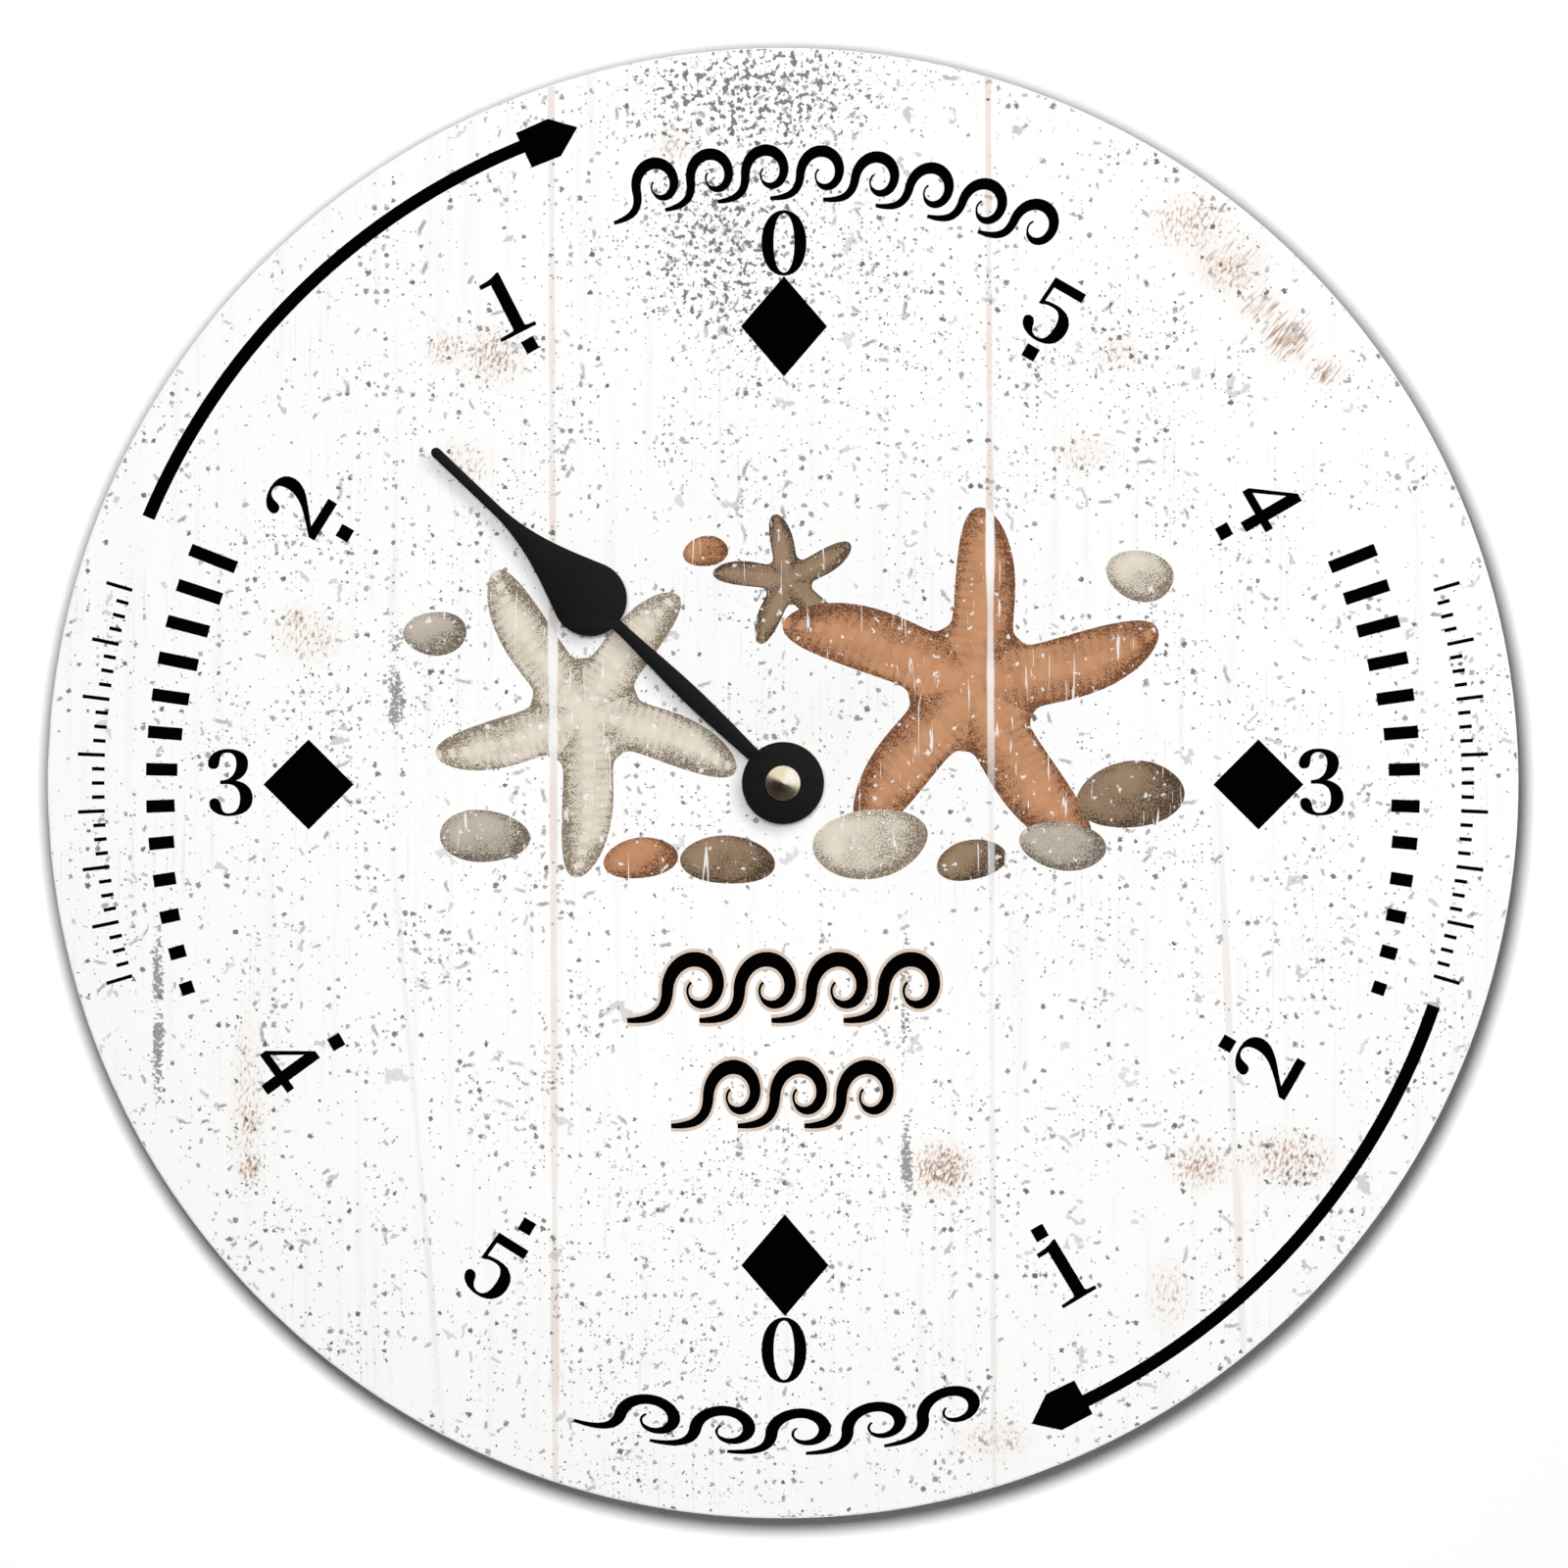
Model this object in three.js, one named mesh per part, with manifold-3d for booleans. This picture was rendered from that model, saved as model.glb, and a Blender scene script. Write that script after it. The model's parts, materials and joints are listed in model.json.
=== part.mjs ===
// A round wall clock with one tide hand: a printed wooden board with a quartz tide movement behind it.
// While it is built, x is right, y is up and z comes out of the dial. At the end the whole clock is
// turned so that up is +Z and the dial faces -Y. z = 0 is the back of the movement, at the wall.

import * as THREE from 'three';
import { mergeVertices } from 'three/addons/utils/BufferGeometryUtils.js';
import Module from 'manifold-3d';

const wasm = await Module();
wasm.setup();

// Driving dimensions, in millimetres and degrees

// Board and printed face
const boardDiameter = 304.8;
const boardThickness = 6;
const boardChamfer = 0.6;
const printThickness = 0.25;

// Hand: a flat stamping with a round hub, a bellied stem, a bulb and a slim tip
const handLength = 99;
const handThickness = 0.6;
const handAngle = 46.4;
const hubDiameter = 17;
const bulbDiameter = 15.4;
const bulbReach = 55.2;
const flareReach = 82;
const flareAngle = 59;
const tipWidth = 2;
const stemNeckWidth = 2.05;
const stemBellyWidth = 3.85;
const stemBellyReach = 25;
const stemRootWidth = 2.85;
const flareStartPull = 0.24;
const flareEndPull = 0.4;
const handCurveSegments = 6;

// Fixings on the hand's axis
const bushDiameter = 7.9;
const bushFlangeWidth = 1.25;
const bushFlangeThickness = 0.6;
const bushProud = 0.35;
const nutAcrossFlats = 12;
const nutThickness = 2.2;
const nutChamfer = 0.5;
const washerDiameter = 15;
const washerThickness = 0.6;
const rubberDiameter = 20;
const rubberThickness = 1;
const arborDiameter = 4;
const handSeatDiameter = 3.2;
const threadTipDiameter = 2.4;
const colletDiameter = 7.6;
const colletThickness = 1.2;
const capDiameter = 7.3;
const capHeight = 3;
const capRim = 1.1;

// Hanger: a strip with a keyhole eye above the case
const hangerWidth = 22;
const hangerThickness = 0.8;
const eyeRise = 8;
const eyeDiameter = 9;
const slotWidth = 3.2;
const slotLength = 6.5;
const hangerCurveSegments = 6;

// Movement housing
const caseWall = 1.2;
const caseCorner = 4;
const caseCurveSegments = 4;
const coverThickness = 1.2;
const chamberBelow = 10.6;
const electronicsRoom = 2;
const hookWidth = 6;
const hookThickness = 1;
const hookBite = 0.6;
const postRadius = 2.2;
const postNeckRadius = 1.6;
const postPinRadius = 0.9;
const lowerPostSpread = 15.5;
const lowerPostGap = 1;
const upperLeftPostAngle = 105;
const upperLeftPostGap = 0.4;
const upperRightPostAngle = 12;
const upperRightPostGap = 3.9;
const bossRadius = 1.2;
const bossHeight = 0.5;
const thumbNotchRadius = 7;

// Gear train: wheels lie in layers, counted from the bridge to the front
const bridgeThickness = 1.2;
const bridgeGap = 0.7;
const wheelThickness = 1;
const layerGap = 0.5;
const flangeGap = 0.35;
const spindleRadius = 0.5;
const pivotRadius = 0.35;
const centreSpindleRadius = 0.8;
const centrePivotRadius = 0.5;
const clutchDiameter = 4.4;
const clutchThickness = 0.3;

// Tooth form, as shares of the module and of the tooth pitch
const toothAddendum = 0.8;
const toothDedendum = 1.15;
const toothTipShare = 0.11;
const toothRootShare = 0.29;

// Motion work, from the centre arbor to the hand
const motionModule = 0.3;
const centrePinionTeeth = 12;
const minuteWheelTeeth = 40;
const minutePinionTeeth = 11;
const tideWheelTeeth = 41;
const knobPinionTeeth = 12;
const minuteAngle = 165;
const knobAngle = 120;

// Motor train, from the rotor to the centre wheel
const centreModule = 0.27;
const centreWheelTeeth = 48;
const thirdPinionTeeth = 6;
const thirdModule = 0.24;
const thirdWheelTeeth = 45;
const fourthPinionTeeth = 6;
const fourthModule = 0.22;
const fourthWheelTeeth = 40;
const fifthPinionTeeth = 8;
const fifthModule = 0.17;
const fifthWheelTeeth = 48;
const rotorPinionTeeth = 8;
const thirdAngle = 60;
const fourthAngle = -20;
const fifthAngle = 60;
const rotorAngle = 80;

// Step motor
const magnetDiameter = 4;
const magnetProud = 0.3;
const statorThickness = 1;
const statorAirGap = 0.4;
const statorNeck = 1;
const statorEndWidth = 5;
const statorTabWidth = 3.6;
const statorNotchAngle = 45;
const coreWidth = 2.6;
const coreThickness = 0.8;
const bobbinLength = 27;
const bobbinFlangeRadius = 3.1;
const bobbinFlangeThickness = 0.8;
const bobbinWall = 0.35;
const windingRadius = 2.8;
const windingSlope = 0.4;
const coilFlats = 16;
const coilPostGap = 0.3;
const coilWallGap = 1.7;

// Quartz drive
const pcbThickness = 0.8;
const pcbStandoff = 1.4;
const pcbDepth = 13.7;
const crystalDiameter = 2;
const crystalLength = 6;
const crystalEdge = 0.3;
const crystalInset = 3;
const chipDiameter = 6;
const chipHeight = 0.8;

// Battery, one AA cell, and its contacts
const batteryDiameter = 14.2;
const batteryLength = 50.5;
const batteryEdge = 0.6;
const nubDiameter = 5.5;
const nubLength = 1.3;
const batteryRearGap = 0.8;
const contactThickness = 0.3;
const contactSpring = 1.2;
const contactWidth = 10;
const contactTailWidth = 2.5;

// Set knob
const knobDiameter = 7.2;
const knobHeight = 2.4;
const knobBack = 0.5;
const knobFlutes = 12;
const knobFluteDepth = 0.25;
const knobStemRadius = 1.2;
const cupWall = 1;
const cupSideGap = 0.7;
const cupFloorGap = 0.4;

// Clearances
const seatGap = 0.05;
const runGap = 0.08;
const endPlay = 0.1;
const looseGap = 0.25;
const fitGap = 0.15;
const handClearance = 0.3;
const bayClearance = 0.4;

// Meshing: flats on a circle for the root of its radius, how far a cutting tool runs past a face, and
// how close two corners are before they become one
const flatness = 1.9;
const overshoot = 1;
const weldDistance = 1e-5;

// Heights, from the wall outwards. The case is as deep as the cell or the train needs, and the train
// hangs from its front wall
const layerPitch = wheelThickness + layerGap;
const layers = [0, 1, 2, 3, 4];
const trainDepth = layers.length * layerPitch - layerGap + flangeGap + bushFlangeThickness + seatGap;
const stackDepth = pcbThickness + pcbStandoff + bridgeThickness + bridgeGap + trainDepth;
const caseInside = Math.max(
  coverThickness + electronicsRoom + stackDepth,
  batteryRearGap + batteryDiameter + bayClearance - endPlay,
);
const pcbBack = caseInside - stackDepth;
const pcbFront = pcbBack + pcbThickness;
const bridgeBack = pcbFront + pcbStandoff;
const bridgeFront = bridgeBack + bridgeThickness;
const trainBack = bridgeFront + bridgeGap;
const [fourthLayer, thirdLayer, centreLayer, minuteLayer, tideLayer] = layers.map(
  (layer) => trainBack + layer * layerPitch,
);
const statorBack = trainBack + endPlay;
const statorFront = statorBack + statorThickness;
const coilHeight = statorFront + seatGap + coreThickness / 2;
const caseDepth = caseInside + caseWall;
const bushBack = caseInside - seatGap - bushFlangeThickness;
const hangerBack = caseDepth + seatGap;
const rubberBack = hangerBack + hangerThickness + seatGap;
const boardBack = rubberBack + rubberThickness + seatGap;
const boardFront = boardBack + boardThickness;
const printBack = boardFront + seatGap;
const washerBack = printBack + printThickness + seatGap;
const nutBack = washerBack + washerThickness + seatGap;
const bushFront = nutBack + nutThickness + bushProud;
const colletBack = bushFront + handClearance;
const handBack = colletBack + colletThickness + seatGap;
const capBack = handBack + handThickness + seatGap;

// Places in plan, seen from the front
const centreAt = new THREE.Vector2(0, 0);
const motionDistance = meshDistance(centrePinionTeeth, minuteWheelTeeth, motionModule);
const tideModule = (2 * motionDistance) / (minutePinionTeeth + tideWheelTeeth);
const minuteAt = along(centreAt, minuteAngle, motionDistance);
const knobAt = along(minuteAt, knobAngle, meshDistance(minuteWheelTeeth, knobPinionTeeth, motionModule));
const thirdAt = along(centreAt, thirdAngle, meshDistance(centreWheelTeeth, thirdPinionTeeth, centreModule));
const fourthAt = along(thirdAt, fourthAngle, meshDistance(thirdWheelTeeth, fourthPinionTeeth, thirdModule));
const fifthAt = along(fourthAt, fifthAngle, meshDistance(fourthWheelTeeth, fifthPinionTeeth, fourthModule));
const rotorAt = along(fifthAt, rotorAngle, meshDistance(fifthWheelTeeth, rotorPinionTeeth, fifthModule));

const cupRadius = knobDiameter / 2 + cupSideGap;
const cupOuterRadius = cupRadius + cupWall;
const cupFloor = knobBack + knobHeight + cupFloorGap;
const rotorHoleRadius = magnetDiameter / 2 + statorAirGap;
const lowerPostY = postRadius + lowerPostGap - chamberBelow;
const upperLeftReach = cupOuterRadius + postRadius + upperLeftPostGap;
const upperLeftPost = along(knobAt, upperLeftPostAngle, upperLeftReach);
const upperRightReach = rotorHoleRadius + postRadius + upperRightPostGap;
const upperRightPost = along(rotorAt, upperRightPostAngle, upperRightReach);
const lowerPosts = [-lowerPostSpread, lowerPostSpread].map((x) => new THREE.Vector2(x, lowerPostY));
const upperPosts = [upperRightPost, upperLeftPost];
const postTop = Math.max(upperLeftPost.y, upperRightPost.y) + postRadius;
const coilY = postTop + coilPostGap + bobbinFlangeRadius;
const chamberAbove = coilY + bobbinFlangeRadius + coilWallGap;
const contactRoom = contactThickness + seatGap + contactSpring;
const halfInside = Math.max(
  batteryLength / 2 + contactRoom,
  upperRightPost.x + postRadius + contactRoom,
);
const bayHeight = batteryDiameter + 2 * bayClearance;
const batteryY = -(chamberBelow + caseWall + bayHeight / 2);
const batteryZ = batteryRearGap + batteryDiameter / 2;
const insideBottom = batteryY - bayHeight / 2;
const caseTop = chamberAbove + caseWall;
const eyeReach = caseTop + eyeRise;
const coverBottom = -(chamberBelow + caseWall / 2);
const insideCorner = Math.max(caseCorner - caseWall, caseWall);

function radians(degrees) {
  return (degrees * Math.PI) / 180;
}

function meshDistance(teeth, otherTeeth, module) {
  return ((teeth + otherTeeth) * module) / 2;
}

// The point that lies this far from another, at an angle from the right
function along(from, angle, distance) {
  const turn = radians(angle);
  return new THREE.Vector2(from.x + distance * Math.cos(turn), from.y + distance * Math.sin(turn));
}

// How many flats a circle gets
function flatsFor(radius) {
  return 4 * Math.round(1 + flatness * Math.sqrt(radius));
}

function circle(radius, at = centreAt, flats = flatsFor(radius)) {
  return Array.from({ length: flats }, (_, i) => along(at, (360 * i) / flats, radius));
}

// A hole's outline, whose flats touch the true circle from outside
function hole(radius, at = centreAt) {
  const flats = flatsFor(radius);
  return circle(radius / Math.cos(Math.PI / flats), at, flats);
}

function plate(points, ...holes) {
  const shape = new THREE.Shape(points);
  shape.holes = holes.map((points) => new THREE.Path(points));
  return shape;
}

// A convex outline: corner centres in anticlockwise order, widened by a radius
function widened(corners, radius) {
  const shape = new THREE.Shape();
  corners.forEach((corner, i) => {
    const arriving = corner.clone().sub(corners.at(i - 1));
    const leaving = corners[(i + 1) % corners.length].clone().sub(corner);
    const from = arriving.angle() - Math.PI / 2;
    shape.absarc(corner.x, corner.y, radius, from, leaving.angle() - Math.PI / 2, false);
  });
  return shape;
}

function roundedRectangle(left, bottom, right, top, radius) {
  const corners = [
    [left + radius, bottom + radius],
    [right - radius, bottom + radius],
    [right - radius, top - radius],
    [left + radius, top - radius],
  ];
  return widened(corners.map(([x, y]) => new THREE.Vector2(x, y)), radius);
}

// A shape in plan, thickened from one height to another
function slab(shape, back, front, curveSegments = 3) {
  const settings = { depth: front - back, bevelEnabled: false, curveSegments };
  return new THREE.ExtrudeGeometry(shape, settings).translate(0, 0, back);
}

// A shape drawn in y and z, thickened in x
function sideSlab(points, left, right) {
  const shape = new THREE.Shape(points.map(([y, z]) => new THREE.Vector2(y, z)));
  const settings = { depth: right - left, bevelEnabled: false };
  const axes = new THREE.Matrix4().makeBasis(
    new THREE.Vector3(0, 1, 0),
    new THREE.Vector3(0, 0, 1),
    new THREE.Vector3(1, 0, 0),
  );
  return new THREE.ExtrudeGeometry(shape, settings).applyMatrix4(axes).translate(left, 0, 0);
}

function block(left, right, bottom, top, back, front) {
  const box = new THREE.BoxGeometry(right - left, top - bottom, front - back);
  return box.translate((left + right) / 2, (bottom + top) / 2, (back + front) / 2);
}

// A body turned about z, from pairs of radius and height
function turned(profile, at = centreAt, flats = undefined) {
  const widest = Math.max(...profile.map(([radius]) => radius));
  const points = profile.map(([radius, height]) => new THREE.Vector2(radius, height));
  const lathe = new THREE.LatheGeometry(points, flats ?? flatsFor(widest));
  return lathe.rotateX(Math.PI / 2).translate(at.x, at.y, 0);
}

// A flat ring, or any ring whose section is a rectangle
function ring(outerRadius, innerRadius, back, front) {
  return slab(plate(circle(outerRadius), hole(innerRadius)), back, front);
}

function rod(radius, back, front, at = centreAt) {
  return slab(plate(circle(radius, at)), back, front);
}

// The tool that cuts a round hole
function drill(radius, back, front, at = centreAt) {
  return slab(plate(hole(radius, at)), back, front);
}

function solid(geometry) {
  geometry.deleteAttribute('normal');
  geometry.deleteAttribute('uv');
  const merged = mergeVertices(geometry, weldDistance);
  return new wasm.Manifold(
    new wasm.Mesh({
      numProp: 3,
      vertProperties: new Float32Array(merged.attributes.position.array),
      triVerts: new Uint32Array(merged.index.array),
    }),
  );
}

function faceted(body) {
  const { vertProperties, triVerts } = body.getMesh();
  const geometry = new THREE.BufferGeometry();
  geometry.setAttribute('position', new THREE.BufferAttribute(vertProperties, 3));
  geometry.setIndex(new THREE.BufferAttribute(triVerts, 1));
  return geometry;
}

function fused(first, ...others) {
  return faceted(others.reduce((body, other) => body.add(solid(other)), solid(first)));
}

function carved(first, ...tools) {
  return faceted(tools.reduce((body, tool) => body.subtract(solid(tool)), solid(first)));
}

function shared(first, second) {
  return faceted(solid(first).intersect(solid(second)));
}

// Gears

// A spur gear's outline with a tooth centred on an angle, given in radians
function gear(teeth, module, phase) {
  const pitchRadius = (teeth * module) / 2;
  const tip = pitchRadius + toothAddendum * module;
  const root = pitchRadius - toothDedendum * module;
  const pitch = (2 * Math.PI) / teeth;
  const corners = [
    [root, -toothRootShare],
    [tip, -toothTipShare],
    [tip, toothTipShare],
    [root, toothRootShare],
  ];
  const points = [];
  for (let tooth = 0; tooth < teeth; tooth += 1) {
    for (const [radius, share] of corners) {
      const angle = phase + (tooth + share) * pitch;
      points.push(new THREE.Vector2(radius * Math.cos(angle), radius * Math.sin(angle)));
    }
  }
  return points;
}

// The phase that lets a gear's teeth fall into the gaps of its neighbour
function matingPhase(phase, teeth, at, otherTeeth, otherAt) {
  const direction = otherAt.clone().sub(at).angle();
  const offset = ((direction - phase) * teeth) / (2 * Math.PI);
  return direction + Math.PI + (2 * Math.PI * (0.5 + offset)) / otherTeeth;
}

function wheelSlab(teeth, module, phase, layer, ...holes) {
  return slab(plate(gear(teeth, module, phase), ...holes), layer, layer + wheelThickness);
}

// A shaft with a thin pivot at each end, one in the bridge and one in a boss of the front wall
function spindle(radius) {
  const rear = bridgeFront + endPlay;
  const front = caseInside - bossHeight - endPlay;
  return turned([
    [0, bridgeBack + endPlay],
    [pivotRadius, bridgeBack + endPlay],
    [pivotRadius, rear],
    [radius, rear],
    [radius, front],
    [pivotRadius, front],
    [pivotRadius, caseInside + endPlay],
    [0, caseInside + endPlay],
  ]);
}

function tideWheel() {
  const hub = arborDiameter / 2;
  const seat = handSeatDiameter / 2;
  const thread = threadTipDiameter / 2;
  const shoulder = colletBack - seatGap;
  const seatEnd = handBack + handThickness - endPlay;
  const threadEnd = capBack + capHeight / 2;
  const recessEnd = tideLayer + wheelThickness;
  const recess = drill(centrePivotRadius + runGap, tideLayer - overshoot, recessEnd);
  const arbor = turned([
    [0, tideLayer],
    [hub, tideLayer],
    [hub, shoulder],
    [seat, shoulder],
    [seat, seatEnd],
    [thread, seatEnd],
    [thread, threadEnd],
    [0, threadEnd],
  ]);
  return carved(fused(wheelSlab(tideWheelTeeth, tideModule, 0, tideLayer), arbor), recess);
}

function minuteWheel() {
  const pinionPhase = matingPhase(0, tideWheelTeeth, centreAt, minutePinionTeeth, minuteAt);
  return fused(
    spindle(spindleRadius),
    wheelSlab(minuteWheelTeeth, motionModule, 0, minuteLayer),
    wheelSlab(minutePinionTeeth, tideModule, pinionPhase, tideLayer),
  );
}

function centreArbor() {
  const pinionPhase = matingPhase(0, minuteWheelTeeth, minuteAt, centrePinionTeeth, centreAt);
  const rear = bridgeFront + endPlay;
  const front = tideLayer - endPlay;
  const pivotEnd = tideLayer + wheelThickness - 2 * endPlay;
  const shaft = turned([
    [0, bridgeBack + endPlay],
    [centrePivotRadius, bridgeBack + endPlay],
    [centrePivotRadius, rear],
    [centreSpindleRadius, rear],
    [centreSpindleRadius, front],
    [centrePivotRadius, front],
    [centrePivotRadius, pivotEnd],
    [0, pivotEnd],
  ]);
  return fused(shaft, wheelSlab(centrePinionTeeth, motionModule, pinionPhase, minuteLayer));
}

function centreWheel() {
  const bore = hole(centreSpindleRadius + runGap);
  return wheelSlab(centreWheelTeeth, centreModule, 0, centreLayer, bore);
}

function clutchWasher() {
  const front = centreLayer - seatGap;
  return ring(clutchDiameter / 2, centreSpindleRadius + runGap, front - clutchThickness, front);
}

function thirdWheel() {
  const pinionPhase = matingPhase(0, centreWheelTeeth, centreAt, thirdPinionTeeth, thirdAt);
  return fused(
    spindle(spindleRadius),
    wheelSlab(thirdWheelTeeth, thirdModule, 0, thirdLayer),
    wheelSlab(thirdPinionTeeth, centreModule, pinionPhase, centreLayer),
  );
}

function fourthWheel() {
  const pinionPhase = matingPhase(0, thirdWheelTeeth, thirdAt, fourthPinionTeeth, fourthAt);
  return fused(
    spindle(spindleRadius),
    wheelSlab(fourthWheelTeeth, fourthModule, 0, fourthLayer),
    wheelSlab(fourthPinionTeeth, thirdModule, pinionPhase, thirdLayer),
  );
}

function fifthWheel() {
  const pinionPhase = matingPhase(0, fourthWheelTeeth, fourthAt, fifthPinionTeeth, fifthAt);
  return fused(
    spindle(spindleRadius),
    wheelSlab(fifthWheelTeeth, fifthModule, 0, centreLayer),
    wheelSlab(fifthPinionTeeth, fourthModule, pinionPhase, fourthLayer),
  );
}

function rotorPinion() {
  const phase = matingPhase(0, fifthWheelTeeth, fifthAt, rotorPinionTeeth, rotorAt);
  return fused(spindle(spindleRadius), wheelSlab(rotorPinionTeeth, fifthModule, phase, centreLayer));
}

function setKnob() {
  const phase = matingPhase(0, minuteWheelTeeth, minuteAt, knobPinionTeeth, knobAt);
  const flutes = Array.from({ length: 4 * knobFlutes }, (_, i) => {
    const outer = knobDiameter / 2 - knobFluteDepth * (i % 4 < 2 ? 0 : 1);
    return along(centreAt, (90 * i) / knobFlutes, outer);
  });
  const front = caseInside - bossHeight - endPlay;
  const stem = turned([
    [0, knobBack + endPlay],
    [knobStemRadius, knobBack + endPlay],
    [knobStemRadius, front],
    [pivotRadius, front],
    [pivotRadius, caseInside + endPlay],
    [0, caseInside + endPlay],
  ]);
  return fused(
    stem,
    slab(plate(flutes), knobBack, knobBack + knobHeight),
    wheelSlab(knobPinionTeeth, motionModule, phase, minuteLayer),
  );
}

// Step motor

function rotorMagnet() {
  return ring(
    magnetDiameter / 2,
    spindleRadius + seatGap,
    statorBack - magnetProud,
    statorFront + magnetProud,
  );
}

// A plate that closes the magnet's circuit, with two tabs up to the coil core and two notches that
// tell the rotor which way to step
function stator() {
  const left = upperLeftPost.x - statorEndWidth / 2;
  const right = upperRightPost.x + statorEndWidth / 2;
  const low = upperLeftPost.y - postNeckRadius - statorNeck;
  const rotorLow = rotorAt.y - rotorHoleRadius - statorNeck;
  const top = coilY - bobbinFlangeRadius - 2 * looseGap;
  const tabTop = coilY + coreWidth / 2 + looseGap;
  const points = [
    [left, low],
    [rotorAt.x - rotorHoleRadius - 2 * statorNeck, low],
    [rotorAt.x - rotorHoleRadius, rotorLow],
    [right, rotorLow],
    [right, tabTop],
    [right - statorTabWidth, tabTop],
    [right - statorTabWidth, top],
    [left + statorEndWidth, top],
    [left + statorEndWidth, tabTop],
    [left, tabTop],
  ].map(([x, y]) => new THREE.Vector2(x, y));
  const notchAngles = [statorNotchAngle, statorNotchAngle + 180];
  const notches = notchAngles.map((angle) => along(rotorAt, angle, rotorHoleRadius));
  const through = (radius, at) => drill(radius, statorBack - overshoot, statorFront + overshoot, at);
  return carved(
    slab(new THREE.Shape(points), statorBack, statorFront),
    through(rotorHoleRadius, rotorAt),
    ...notches.map((at) => through(statorAirGap, at)),
    ...upperPosts.map((at) => through(postNeckRadius + fitGap, at)),
  );
}

const coreLeft = upperLeftPost.x - statorEndWidth / 2 + looseGap;
const coreRight = upperRightPost.x + statorEndWidth / 2 - looseGap;
const coilMiddle = (coreLeft + statorEndWidth + coreRight - statorTabWidth) / 2;

function coilCore() {
  const half = coreThickness / 2;
  return block(
    coreLeft,
    coreRight,
    coilY - coreWidth / 2,
    coilY + coreWidth / 2,
    coilHeight - half,
    coilHeight + half,
  );
}

// A ring turned about the coil's axis, which runs along x
function coilRing(profile) {
  const lathe = turned([...profile, profile[0]], centreAt, coilFlats);
  return lathe.rotateY(Math.PI / 2).translate(coilMiddle, coilY, coilHeight);
}

const bobbinBore = Math.hypot(coreWidth, coreThickness) / 2 + fitGap;
const bobbinTube = bobbinBore + bobbinWall;

function coilBobbin() {
  const end = bobbinLength / 2;
  const flangeInside = end - bobbinFlangeThickness;
  return coilRing([
    [bobbinBore, -end],
    [bobbinFlangeRadius, -end],
    [bobbinFlangeRadius, -flangeInside],
    [bobbinTube, -flangeInside],
    [bobbinTube, flangeInside],
    [bobbinFlangeRadius, flangeInside],
    [bobbinFlangeRadius, end],
    [bobbinBore, end],
  ]);
}

function coilWinding() {
  const end = bobbinLength / 2 - bobbinFlangeThickness - fitGap;
  return coilRing([
    [bobbinTube + fitGap, -end],
    [windingRadius - windingSlope, -end],
    [windingRadius, windingSlope - end],
    [windingRadius, end - windingSlope],
    [windingRadius - windingSlope, end],
    [bobbinTube + fitGap, end],
  ]);
}

// Quartz drive

function circuitBoard() {
  const edge = halfInside - endPlay;
  const top = chamberAbove - 2 * looseGap;
  const outline = roundedRectangle(-edge, top - pcbDepth, edge, top, insideCorner);
  const through = (radius, at) => drill(radius, pcbBack - overshoot, pcbFront + overshoot, at);
  return carved(
    slab(outline, pcbBack, pcbFront),
    through(cupOuterRadius + looseGap, knobAt),
    ...upperPosts.map((at) => through(postPinRadius + fitGap, at)),
  );
}

function quartzCrystal() {
  const radius = crystalDiameter / 2;
  const can = turned([
    [0, 0],
    [radius - crystalEdge, 0],
    [radius, crystalEdge],
    [radius, crystalLength],
    [0, crystalLength],
  ]);
  const left = crystalInset - halfInside;
  return can.rotateY(Math.PI / 2).translate(left, coilY, pcbFront + seatGap + radius);
}

function chipCap() {
  const radius = chipDiameter / 2;
  const back = pcbBack - seatGap;
  const swell = [0, 30, 60, 90].map((angle) => {
    const turn = radians(angle);
    return [radius * Math.sin(turn), back - chipHeight * Math.cos(turn)];
  });
  const dome = turned([...swell, [0, back]]);
  return dome.translate(coilMiddle, coilY - bobbinFlangeRadius, 0);
}

// Housing

// The inner plate on four posts, with a hole for each rear pivot and two standoffs for the circuit board
function trainBridge() {
  const corners = [...lowerPosts, ...upperPosts];
  const pivots = [minuteAt, thirdAt, fourthAt, fifthAt, rotorAt];
  const through = (radius, at) => drill(radius, pcbFront, bridgeFront + overshoot, at);
  const standoffs = upperPosts.map((at) => rod(postRadius, pcbFront + seatGap, bridgeBack + endPlay, at));
  return carved(
    fused(slab(widened(corners, postRadius), bridgeBack, bridgeFront), ...standoffs),
    through(centrePivotRadius + runGap, centreAt),
    through(knobStemRadius + fitGap, knobAt),
    ...pivots.map((at) => through(pivotRadius + runGap, at)),
    ...corners.map((at) => through(postPinRadius + fitGap, at)),
  );
}

// A moulded post: a stout foot on the front wall, a neck for the stator and a pin for the bridge
function post(at, shoulder, pinEnd) {
  return turned(
    [
      [0, pinEnd],
      [postPinRadius, pinEnd],
      [postPinRadius, bridgeFront + seatGap],
      [postNeckRadius, bridgeFront + seatGap],
      [postNeckRadius, shoulder],
      [postRadius, shoulder],
      [postRadius, caseInside + caseWall / 2],
      [0, caseInside + caseWall / 2],
    ],
    at,
  );
}

const hookTop = coverThickness + electronicsRoom - endPlay;
const sideHookY = (chamberAbove - chamberBelow) / 2;
const topHookX = halfInside / 2;

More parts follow.
